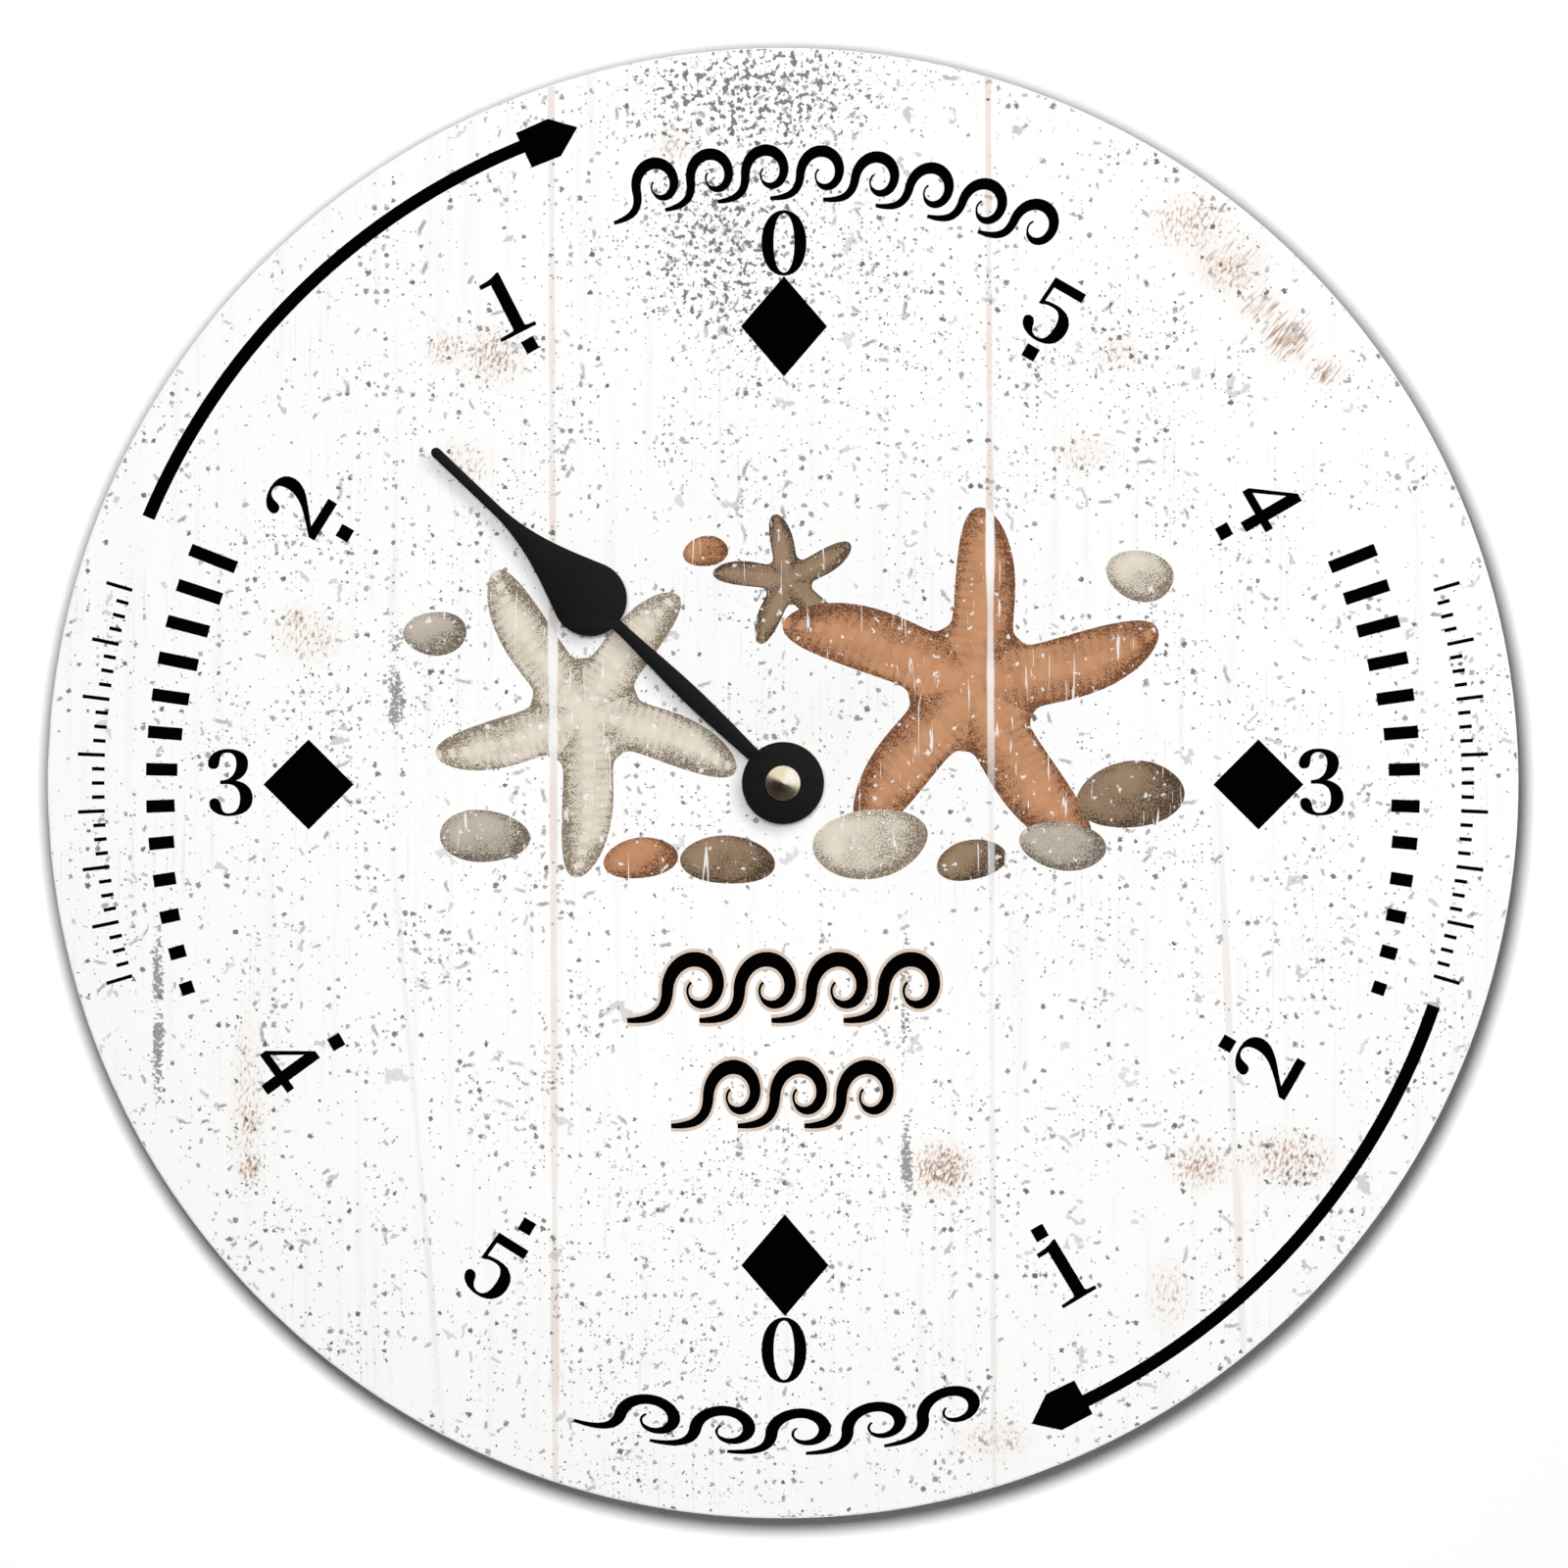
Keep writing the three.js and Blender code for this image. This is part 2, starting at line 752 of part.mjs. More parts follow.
// The cover's four snap hooks, or with a clearance the windows that they snap into
function hooks(clearance) {
  const half = hookWidth / 2 + clearance;
  const reach = hookBite + clearance;
  const low = coverThickness + hookBite - clearance;
  const high = hookTop + clearance;
  const inside = halfInside - fitGap - hookThickness / 2;
  const insideTop = chamberAbove - fitGap - hookThickness / 2;
  return [
    block(inside, halfInside + reach, sideHookY - half, sideHookY + half, low, high),
    block(-halfInside - reach, -inside, sideHookY - half, sideHookY + half, low, high),
    block(topHookX - half, topHookX + half, insideTop, chamberAbove + reach, low, high),
    block(-topHookX - half, half - topHookX, insideTop, chamberAbove + reach, low, high),
  ];
}

function frontCase() {
  const side = halfInside + caseWall;
  const outer = roundedRectangle(-side, insideBottom - caseWall, side, caseTop, caseCorner);
  const inner = roundedRectangle(-halfInside, insideBottom, halfInside, chamberAbove, insideCorner);
  const tray = carved(
    slab(outer, 0, caseDepth, caseCurveSegments),
    slab(inner, -overshoot, caseInside, caseCurveSegments),
    drill(bushDiameter / 2 + fitGap, 0, caseDepth + overshoot),
  );
  const slot = contactRoom - contactThickness / 2;
  const partition = block(
    slot - halfInside,
    halfInside - slot,
    -chamberBelow - caseWall,
    -chamberBelow,
    coverThickness + seatGap,
    caseInside + caseWall / 2,
  );
  const pivots = [minuteAt, thirdAt, fourthAt, fifthAt, rotorAt, knobAt];
  const wallMiddle = caseInside + caseWall / 2;
  const bosses = pivots.map((at) => rod(bossRadius, caseInside - bossHeight, wallMiddle, at));
  const body = fused(
    tray,
    partition,
    ...bosses,
    ...lowerPosts.map((at) => post(at, bridgeFront + 2 * seatGap, bridgeBack + endPlay)),
    ...upperPosts.map((at) => post(at, statorFront + seatGap, pcbBack + endPlay)),
  );
  const notch = drill(thumbNotchRadius, -caseWall - overshoot, overshoot).rotateX(-Math.PI / 2);
  return carved(
    body,
    ...pivots.map((at) => drill(pivotRadius + runGap, caseInside - 2 * bossHeight, wallMiddle, at)),
    ...hooks(fitGap),
    notch.translate(0, insideBottom, 0),
  );
}

// The snap-in cover over the train, with a cup that lets the set knob sit below the back plane
function backCover() {
  const edge = halfInside - fitGap;
  const edgeTop = chamberAbove - fitGap;
  const outline = roundedRectangle(-edge, coverBottom, edge, edgeTop, insideCorner);
  const cup = rod(cupOuterRadius, 0, cupFloor + cupWall, knobAt);
  const half = hookWidth / 2;
  const low = coverThickness / 2;
  const tongues = [
    block(edge - hookThickness, edge, sideHookY - half, sideHookY + half, low, hookTop),
    block(-edge, hookThickness - edge, sideHookY - half, sideHookY + half, low, hookTop),
    block(topHookX - half, topHookX + half, edgeTop - hookThickness, edgeTop, low, hookTop),
    block(-topHookX - half, half - topHookX, edgeTop - hookThickness, edgeTop, low, hookTop),
  ];
  return carved(
    fused(slab(outline, 0, coverThickness, caseCurveSegments), cup, ...tongues, ...hooks(0)),
    drill(cupRadius, -overshoot, cupFloor, knobAt),
    drill(knobStemRadius + fitGap, 0, cupFloor + 2 * cupWall, knobAt),
  );
}

function threadedBush() {
  const bore = arborDiameter / 2 + runGap;
  const barrel = bushDiameter / 2;
  const flange = ring(barrel + bushFlangeWidth, bore, bushBack, bushBack + bushFlangeThickness);
  return fused(flange, ring(barrel, bore, bushBack, bushFront));
}

// Battery and contacts

function battery() {
  const radius = batteryDiameter / 2;
  const half = batteryLength / 2;
  const cell = turned([
    [0, -half],
    [radius - batteryEdge, -half],
    [radius, batteryEdge - half],
    [radius, half - nubLength - batteryEdge],
    [radius - batteryEdge, half - nubLength],
    [nubDiameter / 2, half - nubLength],
    [nubDiameter / 2, half],
    [0, half],
  ]);
  return cell.rotateY(Math.PI / 2).translate(0, batteryY, batteryZ);
}

const contactBack = pcbFront + seatGap;
const contactOuter = halfInside - seatGap;
const contactInner = contactOuter - contactThickness;
const contactFace = batteryLength / 2 + seatGap;

// The strip behind a battery end, with a tail that runs up the side wall to the circuit board
function contactStrip(left, right) {
  const half = contactWidth / 2;
  const front = batteryZ + half;
  const points = [
    [batteryY - half, contactBack],
    [coilY, contactBack],
    [coilY, contactBack + contactTailWidth],
    [batteryY + half, contactBack + contactTailWidth],
    [batteryY + half, front],
    [batteryY - half, front],
  ];
  return sideSlab(points, left, right);
}

function positiveContact() {
  const pip = rod(nubDiameter / 2 - looseGap, 0, contactInner + contactThickness / 2 - contactFace);
  pip.rotateY(Math.PI / 2).translate(contactFace, batteryY, batteryZ);
  return fused(contactStrip(contactInner, contactOuter), pip);
}

// The leaf bows out of its strip and presses on the flat end of the cell
function negativeContact() {
  const half = contactWidth / 2;
  const foot = contactInner + contactThickness / 2;
  const leaf = [
    [-foot, batteryY - half],
    [-contactFace, batteryY],
    [-foot, batteryY + half],
    [-foot, batteryY + half - 2 * contactThickness],
    [-contactFace - contactThickness, batteryY],
    [-foot, batteryY - half + 2 * contactThickness],
  ].map(([x, y]) => new THREE.Vector2(x, y));
  const quarter = contactWidth / 4;
  return fused(
    contactStrip(-contactOuter, -contactInner),
    slab(new THREE.Shape(leaf), batteryZ - quarter, batteryZ + quarter),
  );
}

// Dial, fixings and hand

function dialBoard() {
  const radius = boardDiameter / 2;
  const disc = turned([
    [0, boardBack],
    [radius - boardChamfer, boardBack],
    [radius, boardBack + boardChamfer],
    [radius, boardFront - boardChamfer],
    [radius - boardChamfer, boardFront],
    [0, boardFront],
  ]);
  const back = boardBack - overshoot;
  return carved(disc, drill(bushDiameter / 2 + looseGap, back, boardFront + overshoot));
}

function dialPrint() {
  const radius = boardDiameter / 2 - boardChamfer;
  return ring(radius, bushDiameter / 2 + looseGap, printBack, printBack + printThickness);
}

function hanger() {
  const eye = new THREE.Vector2(0, eyeReach);
  const slotEnd = new THREE.Vector2(0, eyeReach + slotLength);
  const front = hangerBack + hangerThickness;
  const [toolBack, toolFront] = [hangerBack - overshoot, front + overshoot];
  return carved(
    slab(widened([centreAt, eye], hangerWidth / 2), hangerBack, front, hangerCurveSegments),
    drill(bushDiameter / 2 + looseGap, toolBack, toolFront),
    drill(eyeDiameter / 2, toolBack, toolFront, eye),
    slab(widened([eye, slotEnd], slotWidth / 2), toolBack, toolFront),
  );
}

function rubberWasher() {
  return ring(rubberDiameter / 2, bushDiameter / 2 + fitGap, rubberBack, rubberBack + rubberThickness);
}

function brassWasher() {
  return ring(washerDiameter / 2, bushDiameter / 2 + fitGap, washerBack, washerBack + washerThickness);
}

// A hexagon whose corners are turned off at both faces
function hexNut() {
  const corner = nutAcrossFlats / Math.sqrt(3);
  const front = nutBack + nutThickness;
  const hexagon = slab(plate(circle(corner, centreAt, 6), hole(bushDiameter / 2 + fitGap)), nutBack, front);
  const blank = turned([
    [0, nutBack],
    [nutAcrossFlats / 2, nutBack],
    [corner, nutBack + nutChamfer],
    [corner, front - nutChamfer],
    [nutAcrossFlats / 2, front],
    [0, front],
  ]);
  return shared(hexagon, blank);
}

function handCollet() {
  const bore = handSeatDiameter / 2 + seatGap;
  return ring(colletDiameter / 2, bore, colletBack, colletBack + colletThickness);
}

// The hand's outline along +y: hub, bellied stem, round bulb, flare and slim round-ended tip
function handOutline() {
  const hub = hubDiameter / 2;
  const bulb = bulbDiameter / 2;
  const tip = tipWidth / 2;
  const neck = stemNeckWidth / 2;
  const root = stemRootWidth / 2;
  const belly = stemBellyWidth / 2;
  const rootTurn = Math.asin(root / hub);
  const neckTurn = Math.asin(neck / bulb);
  const flareTurn = radians(90 - flareAngle);
  const neckY = bulbReach - bulb * Math.cos(neckTurn);
  const rootY = hub * Math.cos(rootTurn);
  const shoulder = new THREE.Vector2(bulb * Math.cos(flareTurn), bulbReach + bulb * Math.sin(flareTurn));
  const reach = flareReach - shoulder.y;
  const [rise, fall] = [flareStartPull * reach, flareEndPull * reach];
  const lean = rise / Math.tan(radians(flareAngle));
  const stem = [
    [belly, stemBellyReach],
    [(belly + neck) / 2, (stemBellyReach + 2 * neckY) / 3],
    [neck, neckY],
  ].map(([x, y]) => new THREE.Vector2(x, y));
  const mirrored = ({ x, y }) => new THREE.Vector2(-x, y);
  const shape = new THREE.Shape();
  shape.moveTo(root, rootY);
  shape.splineThru(stem);
  shape.absarc(0, bulbReach, bulb, neckTurn - Math.PI / 2, flareTurn, false);
  shape.bezierCurveTo(
    shoulder.x - lean, shoulder.y + rise,
    tip, flareReach - fall,
    tip, flareReach,
  );
  shape.absarc(0, handLength - tip, tip, 0, Math.PI, false);
  shape.lineTo(-tip, flareReach);
  shape.bezierCurveTo(
    -tip, flareReach - fall,
    lean - shoulder.x, shoulder.y + rise,
    -shoulder.x, shoulder.y,
  );
  shape.absarc(0, bulbReach, bulb, Math.PI - flareTurn, 1.5 * Math.PI - neckTurn, false);
  shape.splineThru([...stem.slice(0, 2).reverse().map(mirrored), new THREE.Vector2(-root, rootY)]);
  shape.absarc(0, 0, hub, Math.PI / 2 + rootTurn, 2.5 * Math.PI - rootTurn, false);
  return shape;
}

function tideHand() {
  const shape = handOutline();
  shape.holes = [new THREE.Path(hole(handSeatDiameter / 2 + seatGap))];
  return slab(shape, handBack, handBack + handThickness, handCurveSegments);
}

// A low dome on a straight rim, hollow where the arbor's thread goes in
function capNut() {
  const radius = capDiameter / 2;
  const bore = threadTipDiameter / 2 + seatGap;
  const boreEnd = capBack + capHeight / 2 + endPlay;
  const domeSteps = 5;
  const dome = Array.from({ length: domeSteps + 1 }, (_, i) => {
    const turn = ((Math.PI / 2) * i) / domeSteps;
    return [radius * Math.cos(turn), capBack + capRim + (capHeight - capRim) * Math.sin(turn)];
  });
  dome[domeSteps][0] = 0;
  return turned([[0, boreEnd], [bore, boreEnd], [bore, capBack], [radius, capBack], ...dome]);
}

// Finishes: colour, roughness, metalness
const finishes = {
  wood: [0xb99a6d, 0.8, 0],
  print: [0xf6f5f2, 0.75, 0],
  blackPaint: [0x1f1f1f, 0.45, 0.1],
  brass: [0xd8b766, 0.25, 1],
  steel: [0xb8babd, 0.35, 1],
  iron: [0x8d8f92, 0.45, 1],
  magnet: [0x4a4c50, 0.4, 0.9],
  copper: [0xb5653a, 0.35, 1],
  rubber: [0x1b1b1b, 0.9, 0],
  blackPlastic: [0x222224, 0.55, 0],
  whitePlastic: [0xe9e7df, 0.5, 0],
  greenBoard: [0x1f5b39, 0.5, 0],
  cell: [0x3c3f45, 0.35, 0.6],
};

const clock = new THREE.Group();
clock.name = 'tide_clock';
clock.rotation.x = Math.PI / 2;

function add(name, geometry, finish, at = centreAt, turn = 0) {
  const [color, roughness, metalness] = finishes[finish];
  const material = new THREE.MeshStandardMaterial({ color, roughness, metalness });
  const mesh = new THREE.Mesh(geometry, material);
  mesh.name = name;
  mesh.position.set(at.x, at.y, 0);
  mesh.rotation.z = turn;
  clock.add(mesh);
}

add('dial_board', dialBoard(), 'wood');
add('dial_print', dialPrint(), 'print');
add('tide_hand', tideHand(), 'blackPaint', centreAt, radians(handAngle));
add('hand_collet', handCollet(), 'brass');
add('cap_nut', capNut(), 'brass');
add('hex_nut', hexNut(), 'brass');
add('brass_washer', brassWasher(), 'brass');
add('rubber_washer', rubberWasher(), 'rubber');
add('hanger', hanger(), 'steel');
add('threaded_bush', threadedBush(), 'brass');
add('front_case', frontCase(), 'blackPlastic');
add('back_cover', backCover(), 'blackPlastic');
add('train_bridge', trainBridge(), 'whitePlastic');
add('tide_wheel', tideWheel(), 'brass');
add('minute_wheel', minuteWheel(), 'whitePlastic', minuteAt);
add('centre_arbor', centreArbor(), 'steel');
add('clutch_washer', clutchWasher(), 'brass');
add('centre_wheel', centreWheel(), 'whitePlastic');
add('third_wheel', thirdWheel(), 'whitePlastic', thirdAt);
add('fourth_wheel', fourthWheel(), 'whitePlastic', fourthAt);
add('fifth_wheel', fifthWheel(), 'whitePlastic', fifthAt);
add('rotor_pinion', rotorPinion(), 'whitePlastic', rotorAt);
add('rotor_magnet', rotorMagnet(), 'magnet', rotorAt);
add('stator', stator(), 'iron');
add('coil_core', coilCore(), 'iron');
add('coil_bobbin', coilBobbin(), 'whitePlastic');
add('coil_winding', coilWinding(), 'copper');
add('circuit_board', circuitBoard(), 'greenBoard');
add('quartz_crystal', quartzCrystal(), 'steel');
add('chip_cap', chipCap(), 'blackPlastic');
add('battery', battery(), 'cell');
add('positive_contact', positiveContact(), 'steel');
add('negative_contact', negativeContact(), 'steel');
add('set_knob', setKnob(), 'blackPlastic', knobAt);

export default clock;
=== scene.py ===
import functools
import inspect
import json
import math

import bmesh
import bpy
from mathutils import Matrix, Vector
from mathutils.geometry import interpolate_bezier


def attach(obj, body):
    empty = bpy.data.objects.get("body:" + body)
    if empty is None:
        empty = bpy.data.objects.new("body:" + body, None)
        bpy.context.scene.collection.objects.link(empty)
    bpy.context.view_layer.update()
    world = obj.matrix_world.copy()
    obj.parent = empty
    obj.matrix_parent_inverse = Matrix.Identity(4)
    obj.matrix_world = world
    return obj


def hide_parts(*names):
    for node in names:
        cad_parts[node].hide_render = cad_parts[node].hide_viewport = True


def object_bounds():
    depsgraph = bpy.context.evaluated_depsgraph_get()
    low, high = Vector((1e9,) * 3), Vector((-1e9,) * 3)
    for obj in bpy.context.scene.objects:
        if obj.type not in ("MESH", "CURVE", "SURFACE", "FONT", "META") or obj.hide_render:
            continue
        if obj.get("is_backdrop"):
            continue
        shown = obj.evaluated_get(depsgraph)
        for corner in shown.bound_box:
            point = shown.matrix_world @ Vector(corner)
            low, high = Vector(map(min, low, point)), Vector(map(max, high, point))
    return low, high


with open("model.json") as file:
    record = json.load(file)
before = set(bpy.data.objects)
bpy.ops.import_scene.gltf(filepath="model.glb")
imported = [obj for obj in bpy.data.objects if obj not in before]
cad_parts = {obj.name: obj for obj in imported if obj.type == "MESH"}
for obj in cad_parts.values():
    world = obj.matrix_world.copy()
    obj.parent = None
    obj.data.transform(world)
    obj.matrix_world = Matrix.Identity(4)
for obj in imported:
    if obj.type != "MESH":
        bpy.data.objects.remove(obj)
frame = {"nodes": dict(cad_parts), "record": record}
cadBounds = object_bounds()
print("frame loaded,", len(frame["nodes"]), "nodes")

# Shapes are made in millimetres as the clock is seen: x right, y up, z out of the dial.
# At the end each one is turned to the frame, where up is +Z and the dial faces -Y.
metre = 0.001
toFrame = Matrix.Rotation(math.radians(90), 4, "X") @ Matrix.Scale(metre, 4)
root = "clock_body"

scene = bpy.context.scene
scene.view_settings.view_transform = "Standard"


# Shaping

shaping = {"weld": 0.0005, "cadWeld": 0.001, "flatAngle": 0.5, "smoothAngle": 32, "sharpAngle": 30}


def weld(bm, distance=shaping["weld"]):
    bmesh.ops.remove_doubles(bm, verts=bm.verts, dist=distance)


def turnedShape(profile, steps=96):
    # a closed section of (radius, height) pairs, spun round the hand's axis
    bm = bmesh.new()
    verts = [bm.verts.new((radius, 0, height)) for radius, height in profile]
    edges = [bm.edges.new(pair) for pair in zip(verts, verts[1:] + verts[:1])]
    bmesh.ops.spin(
        bm, geom=verts + edges, cent=(0, 0, 0), axis=(0, 0, 1), dvec=(0, 0, 0),
        angle=math.tau, steps=steps, use_merge=True, use_duplicate=False,
    )
    weld(bm)
    return bm


def ringShape(bore, radius, back, front, steps):
    return turnedShape([(bore, back), (radius, back), (radius, front), (bore, front)], steps)


def flatShape(outlines, back, front, rounding=0.0, grow=0.0):
    # flat outlines filled, grown and thickened; an outline inside another is a hole
    curve = bpy.data.curves.new("outline", "CURVE")
    curve.dimensions = "2D"
    curve.fill_mode = "BOTH"
    curve.extrude = (front - back) / 2 - rounding
    curve.bevel_depth = rounding
    curve.bevel_resolution = 2
    curve.offset = grow - rounding
    for points in outlines:
        spline = curve.splines.new("POLY")
        spline.points.add(len(points) - 1)
        spline.use_cyclic_u = True
        for point, (x, y) in zip(spline.points, points):
            point.co = (x, y, 0, 1)
    holder = bpy.data.objects.new("outline", curve)
    scene.collection.objects.link(holder)
    depsgraph = bpy.context.evaluated_depsgraph_get()
    mesh = bpy.data.meshes.new_from_object(holder.evaluated_get(depsgraph))
    bm = bmesh.new()
    bm.from_mesh(mesh)
    bpy.data.objects.remove(holder)
    bpy.data.curves.remove(curve)
    bpy.data.meshes.remove(mesh)
    weld(bm)
    bmesh.ops.translate(bm, verts=bm.verts, vec=(0, 0, (back + front) / 2))
    return bm


def lifted(bm, height, **settings):
    # the faces thickened towards the viewer
    skin = bmesh.ops.extrude_face_region(bm, geom=bm.faces[:], **settings)
    verts = [v for v in skin["geom"] if isinstance(v, bmesh.types.BMVert)]
    bmesh.ops.translate(bm, verts=verts, vec=(0, 0, height))
    return bm


def roundEdges(bm, width, segments=2, minAngle=shaping["sharpAngle"]):
    limit = math.radians(minAngle)
    sharp = [e for e in bm.edges if e.is_manifold and e.calc_face_angle(0) > limit]
    bmesh.ops.bevel(
        bm, geom=sharp, offset=width, offset_type="OFFSET", affect="EDGES",
        segments=segments, profile=0.5, material=-1, clamp_overlap=True,
    )
    return bm


def newObject(bm, name, material):
    mesh = bpy.data.meshes.new(name)
    bm.to_mesh(mesh)
    bm.free()
    mesh.materials.append(material)
    made = bpy.data.objects.new(name, mesh)
    scene.collection.objects.link(made)
    return made


def finishPiece(bm, name, material, slot, body=root, nodes=()):
    weld(bm)
    bmesh.ops.recalc_face_normals(bm, faces=bm.faces)
    limit = math.radians(shaping["smoothAngle"])
    for side in bm.faces:
        side.smooth = True
    for edge in bm.edges:
        edge.smooth = edge.is_manifold and edge.calc_face_angle(0) < limit
    bm.transform(toFrame)
    piece = newObject(bm, name, material)
    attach(piece, body)
    if nodes:
        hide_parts(*nodes)
    return piece


def softenedCopy(node, width, segments=2):
    # the solid's own shape with its edges broken
    bm = bmesh.new()
    bm.from_mesh(frame["nodes"][node].data)
    bm.transform(toFrame.inverted())
    weld(bm, shaping["cadWeld"])
    bmesh.ops.dissolve_limit(
        bm, angle_limit=math.radians(shaping["flatAngle"]), verts=bm.verts, edges=bm.edges,
        use_dissolve_boundaries=False, delimit={"NORMAL"},
    )
    return roundEdges(bm, width, segments)


# Outlines

def polar(radius, angle):
    # angle in degrees, clockwise from the top of the dial
    turn = math.radians(angle)
    return (radius * math.sin(turn), radius * math.cos(turn))


def placed(points, at=(0, 0), turn=0, size=1):
    # turn in degrees, clockwise
    c, s = math.cos(math.radians(turn)), math.sin(math.radians(turn))
    return [(at[0] + size * (x * c + y * s), at[1] + size * (y * c - x * s)) for x, y in points]


def arcPoints(radius, first, last, steps, at=(0, 0)):
    # angles in radians, anticlockwise from the right
    turns = [first + (last - first) * i / steps for i in range(steps + 1)]
    return [(at[0] + radius * math.cos(turn), at[1] + radius * math.sin(turn)) for turn in turns]


def circlePoints(radius, count):
    return arcPoints(radius, 0, math.tau, count)[:-1]


def pathPoints(start, *steps, resolution=9):
    # straight steps are (x, y), curved ones carry two handles before the end point
    points = [start]
    for step in steps:
        if len(step) == 2:
            points.append(step)
            continue
        near, far, end = (Vector(step[i:i + 2]) for i in (0, 2, 4))
        curve = interpolate_bezier(Vector(points[-1]), near, far, end, resolution)
        points += [tuple(point[:2]) for point in curve[1:]]
    return points


def barPoints(halfWidth, low, high):
    return [(-halfWidth, low), (halfWidth, low), (halfWidth, high), (-halfWidth, high)]


# Material nodes

def addNode(tree, kind, inputs=None, **settings):
    # inputs are plain values or Values to link from
    node = tree.nodes.new("ShaderNode" + kind)
    for name, value in settings.items():
        setattr(node, name, value)
    for name, value in (inputs or {}).items():
        if isinstance(value, Value):
            value.to(node.inputs[name])
        else:
            node.inputs[name].default_value = value
    return node


def addValue(tree, kind, inputs=None, output=0, **settings):
    return Value(addNode(tree, kind, inputs, **settings).outputs[output])


def addValues(tree, kind, inputs, outputs, **settings):
    node = addNode(tree, kind, inputs, **settings)
    return [Value(node.outputs[name]) for name in outputs]


class Value:
    # a socket of a node tree; arithmetic on it adds the nodes that do it

    def __init__(self, socket):
        self.socket = socket
        self.tree = socket.id_data

    def calc(self, operation, *others, clamp=False):
        inputs = dict(enumerate((self, *others)))
        return addValue(self.tree, "Math", inputs, operation=operation, use_clamp=clamp)

    def __add__(self, other):
        return self.calc("ADD", other)

    def __sub__(self, other):
        return self.calc("SUBTRACT", other)

    def __mul__(self, other):
        return self.calc("MULTIPLY", other)

    def __truediv__(self, other):
        return self.calc("DIVIDE", other)

    def __abs__(self):
        return self.calc("ABSOLUTE")

    def clamped(self):
        return self.calc("ADD", 0.0, clamp=True)

    def ramp(self, low, high, toLow=0.0, toHigh=1.0, smooth=False):
        inputs = {"Value": self, "From Min": low, "From Max": high, "To Min": toLow, "To Max": toHigh}
        kind = "SMOOTHSTEP" if smooth else "LINEAR"
        return addValue(self.tree, "MapRange", inputs, "Result", interpolation_type=kind)

    def vector(self, operation, other):
        inputs = {0: self, "Scale" if operation == "SCALE" else 1: other}
        return addValue(self.tree, "VectorMath", inputs, operation=operation)

    def length(self):
        return addValue(self.tree, "VectorMath", {0: self}, "Value", operation="LENGTH")

    def mapped(self, scale, turn=0, kind="POINT"):
        # turn in degrees
        inputs = {"Vector": self, "Rotation": (0, 0, math.radians(turn)), "Scale": scale}
        return addValue(self.tree, "Mapping", inputs, vector_type=kind)

    def parts(self):
        return addValues(self.tree, "SeparateXYZ", {0: self}, "XYZ")

    def to(self, socket):
        self.tree.links.new(self.socket, socket)


def blended(factor, first, second):
    # two colours mixed, each a Value or three numbers
    first, second = (c if isinstance(c, Value) else (*c, 1) for c in (first, second))
    return addValue(factor.tree, "Mix", {0: factor, 6: first, 7: second}, 2, data_type="RGBA")


def strongest(masks):
    # the greatest of several masks at each point
    return functools.reduce(lambda most, mask: most.calc("MAXIMUM", mask), masks)


def passed(pattern, amount, levels, soft, most=1.0):
    # where the pattern passes a level, which goes from one to the other as the amount grows
    level = amount.ramp(0, 1, *levels)
    return pattern.ramp(level, level + soft, 0, most)


def noise(vector, scale, detail=2.0, flat=True, distortion=0.0, output=0):
    inputs = {"Vector": vector, "Scale": scale, "Detail": detail, "Distortion": distortion}
    return addValue(vector.tree, "TexNoise", inputs, output, noise_dimensions="2D" if flat else "3D")


def drawnCells(vector, scale):
    # flat cells: the distance from the middle, the middle's place and three random draws
    distance, place, colour = addValues(
        vector.tree, "TexVoronoi", {"Vector": vector, "Scale": scale}, ("Distance", "Position", "Color"),
        voronoi_dimensions="2D")
    return distance, place, addValues(vector.tree, "SeparateColor", {0: colour}, ("Red", "Green", "Blue"))


def newMaterial(name, **plain):
    # plain values go straight on the shader's sockets
    material = bpy.data.materials.new(name)
    material.use_nodes = True
    tree = material.node_tree
    shader = tree.nodes["Principled BSDF"]
    for socket, value in plain.items():
        shader.inputs[socket.replace("_", " ")].default_value = value
    return material, tree, shader


def addRelief(shader, height, strength, depth=0.0001):
    inputs = {"Height": height, "Strength": strength, "Distance": depth}
    addValue(height.tree, "Bump", inputs).to(shader.inputs["Normal"])


def millimetres(tree):
    # object coordinates in millimetres
    return addValue(tree, "TexCoord", output="Object").vector("SCALE", 1 / metre)


def fromAxis(tree):
    # distance from the hand's axis, in millimetres
    return millimetres(tree).vector("MULTIPLY", (1, 0, 1)).length()


def dialPlane(tree):
    # (right, up) on the dial, in millimetres
    right, away, up = millimetres(tree).parts()
    return addValue(tree, "CombineXYZ", {"X": right, "Y": up})


# Shared effects

def sharedEffect(build):
    # a node group made once from a function; inputs without a default are vectors, the rest numbers,
    # and each call adds the group to its first input's tree
    group = bpy.data.node_groups.new(build.__name__, "ShaderNodeTree")
    for name, parameter in inspect.signature(build).parameters.items():
        isVector = parameter.default is parameter.empty
        kind = "NodeSocketVector" if isVector else "NodeSocketFloat"
        socket = group.interface.new_socket(name, in_out="INPUT", socket_type=kind)
        if not isVector:
            socket.default_value = parameter.default
    entry, leave = (group.nodes.new("NodeGroup" + end) for end in ("Input", "Output"))
    results = build(*(Value(socket) for socket in entry.outputs if socket.name))
    for name, result in results.items():
        group.interface.new_socket(name, in_out="OUTPUT", socket_type="NodeSocketFloat")
        result.to(leave.inputs[name])

    def use(*values):
        made = addValues(values[0].tree, "Group", dict(enumerate(values)), results, node_tree=group)
        return made if len(made) > 1 else made[0]

    return use


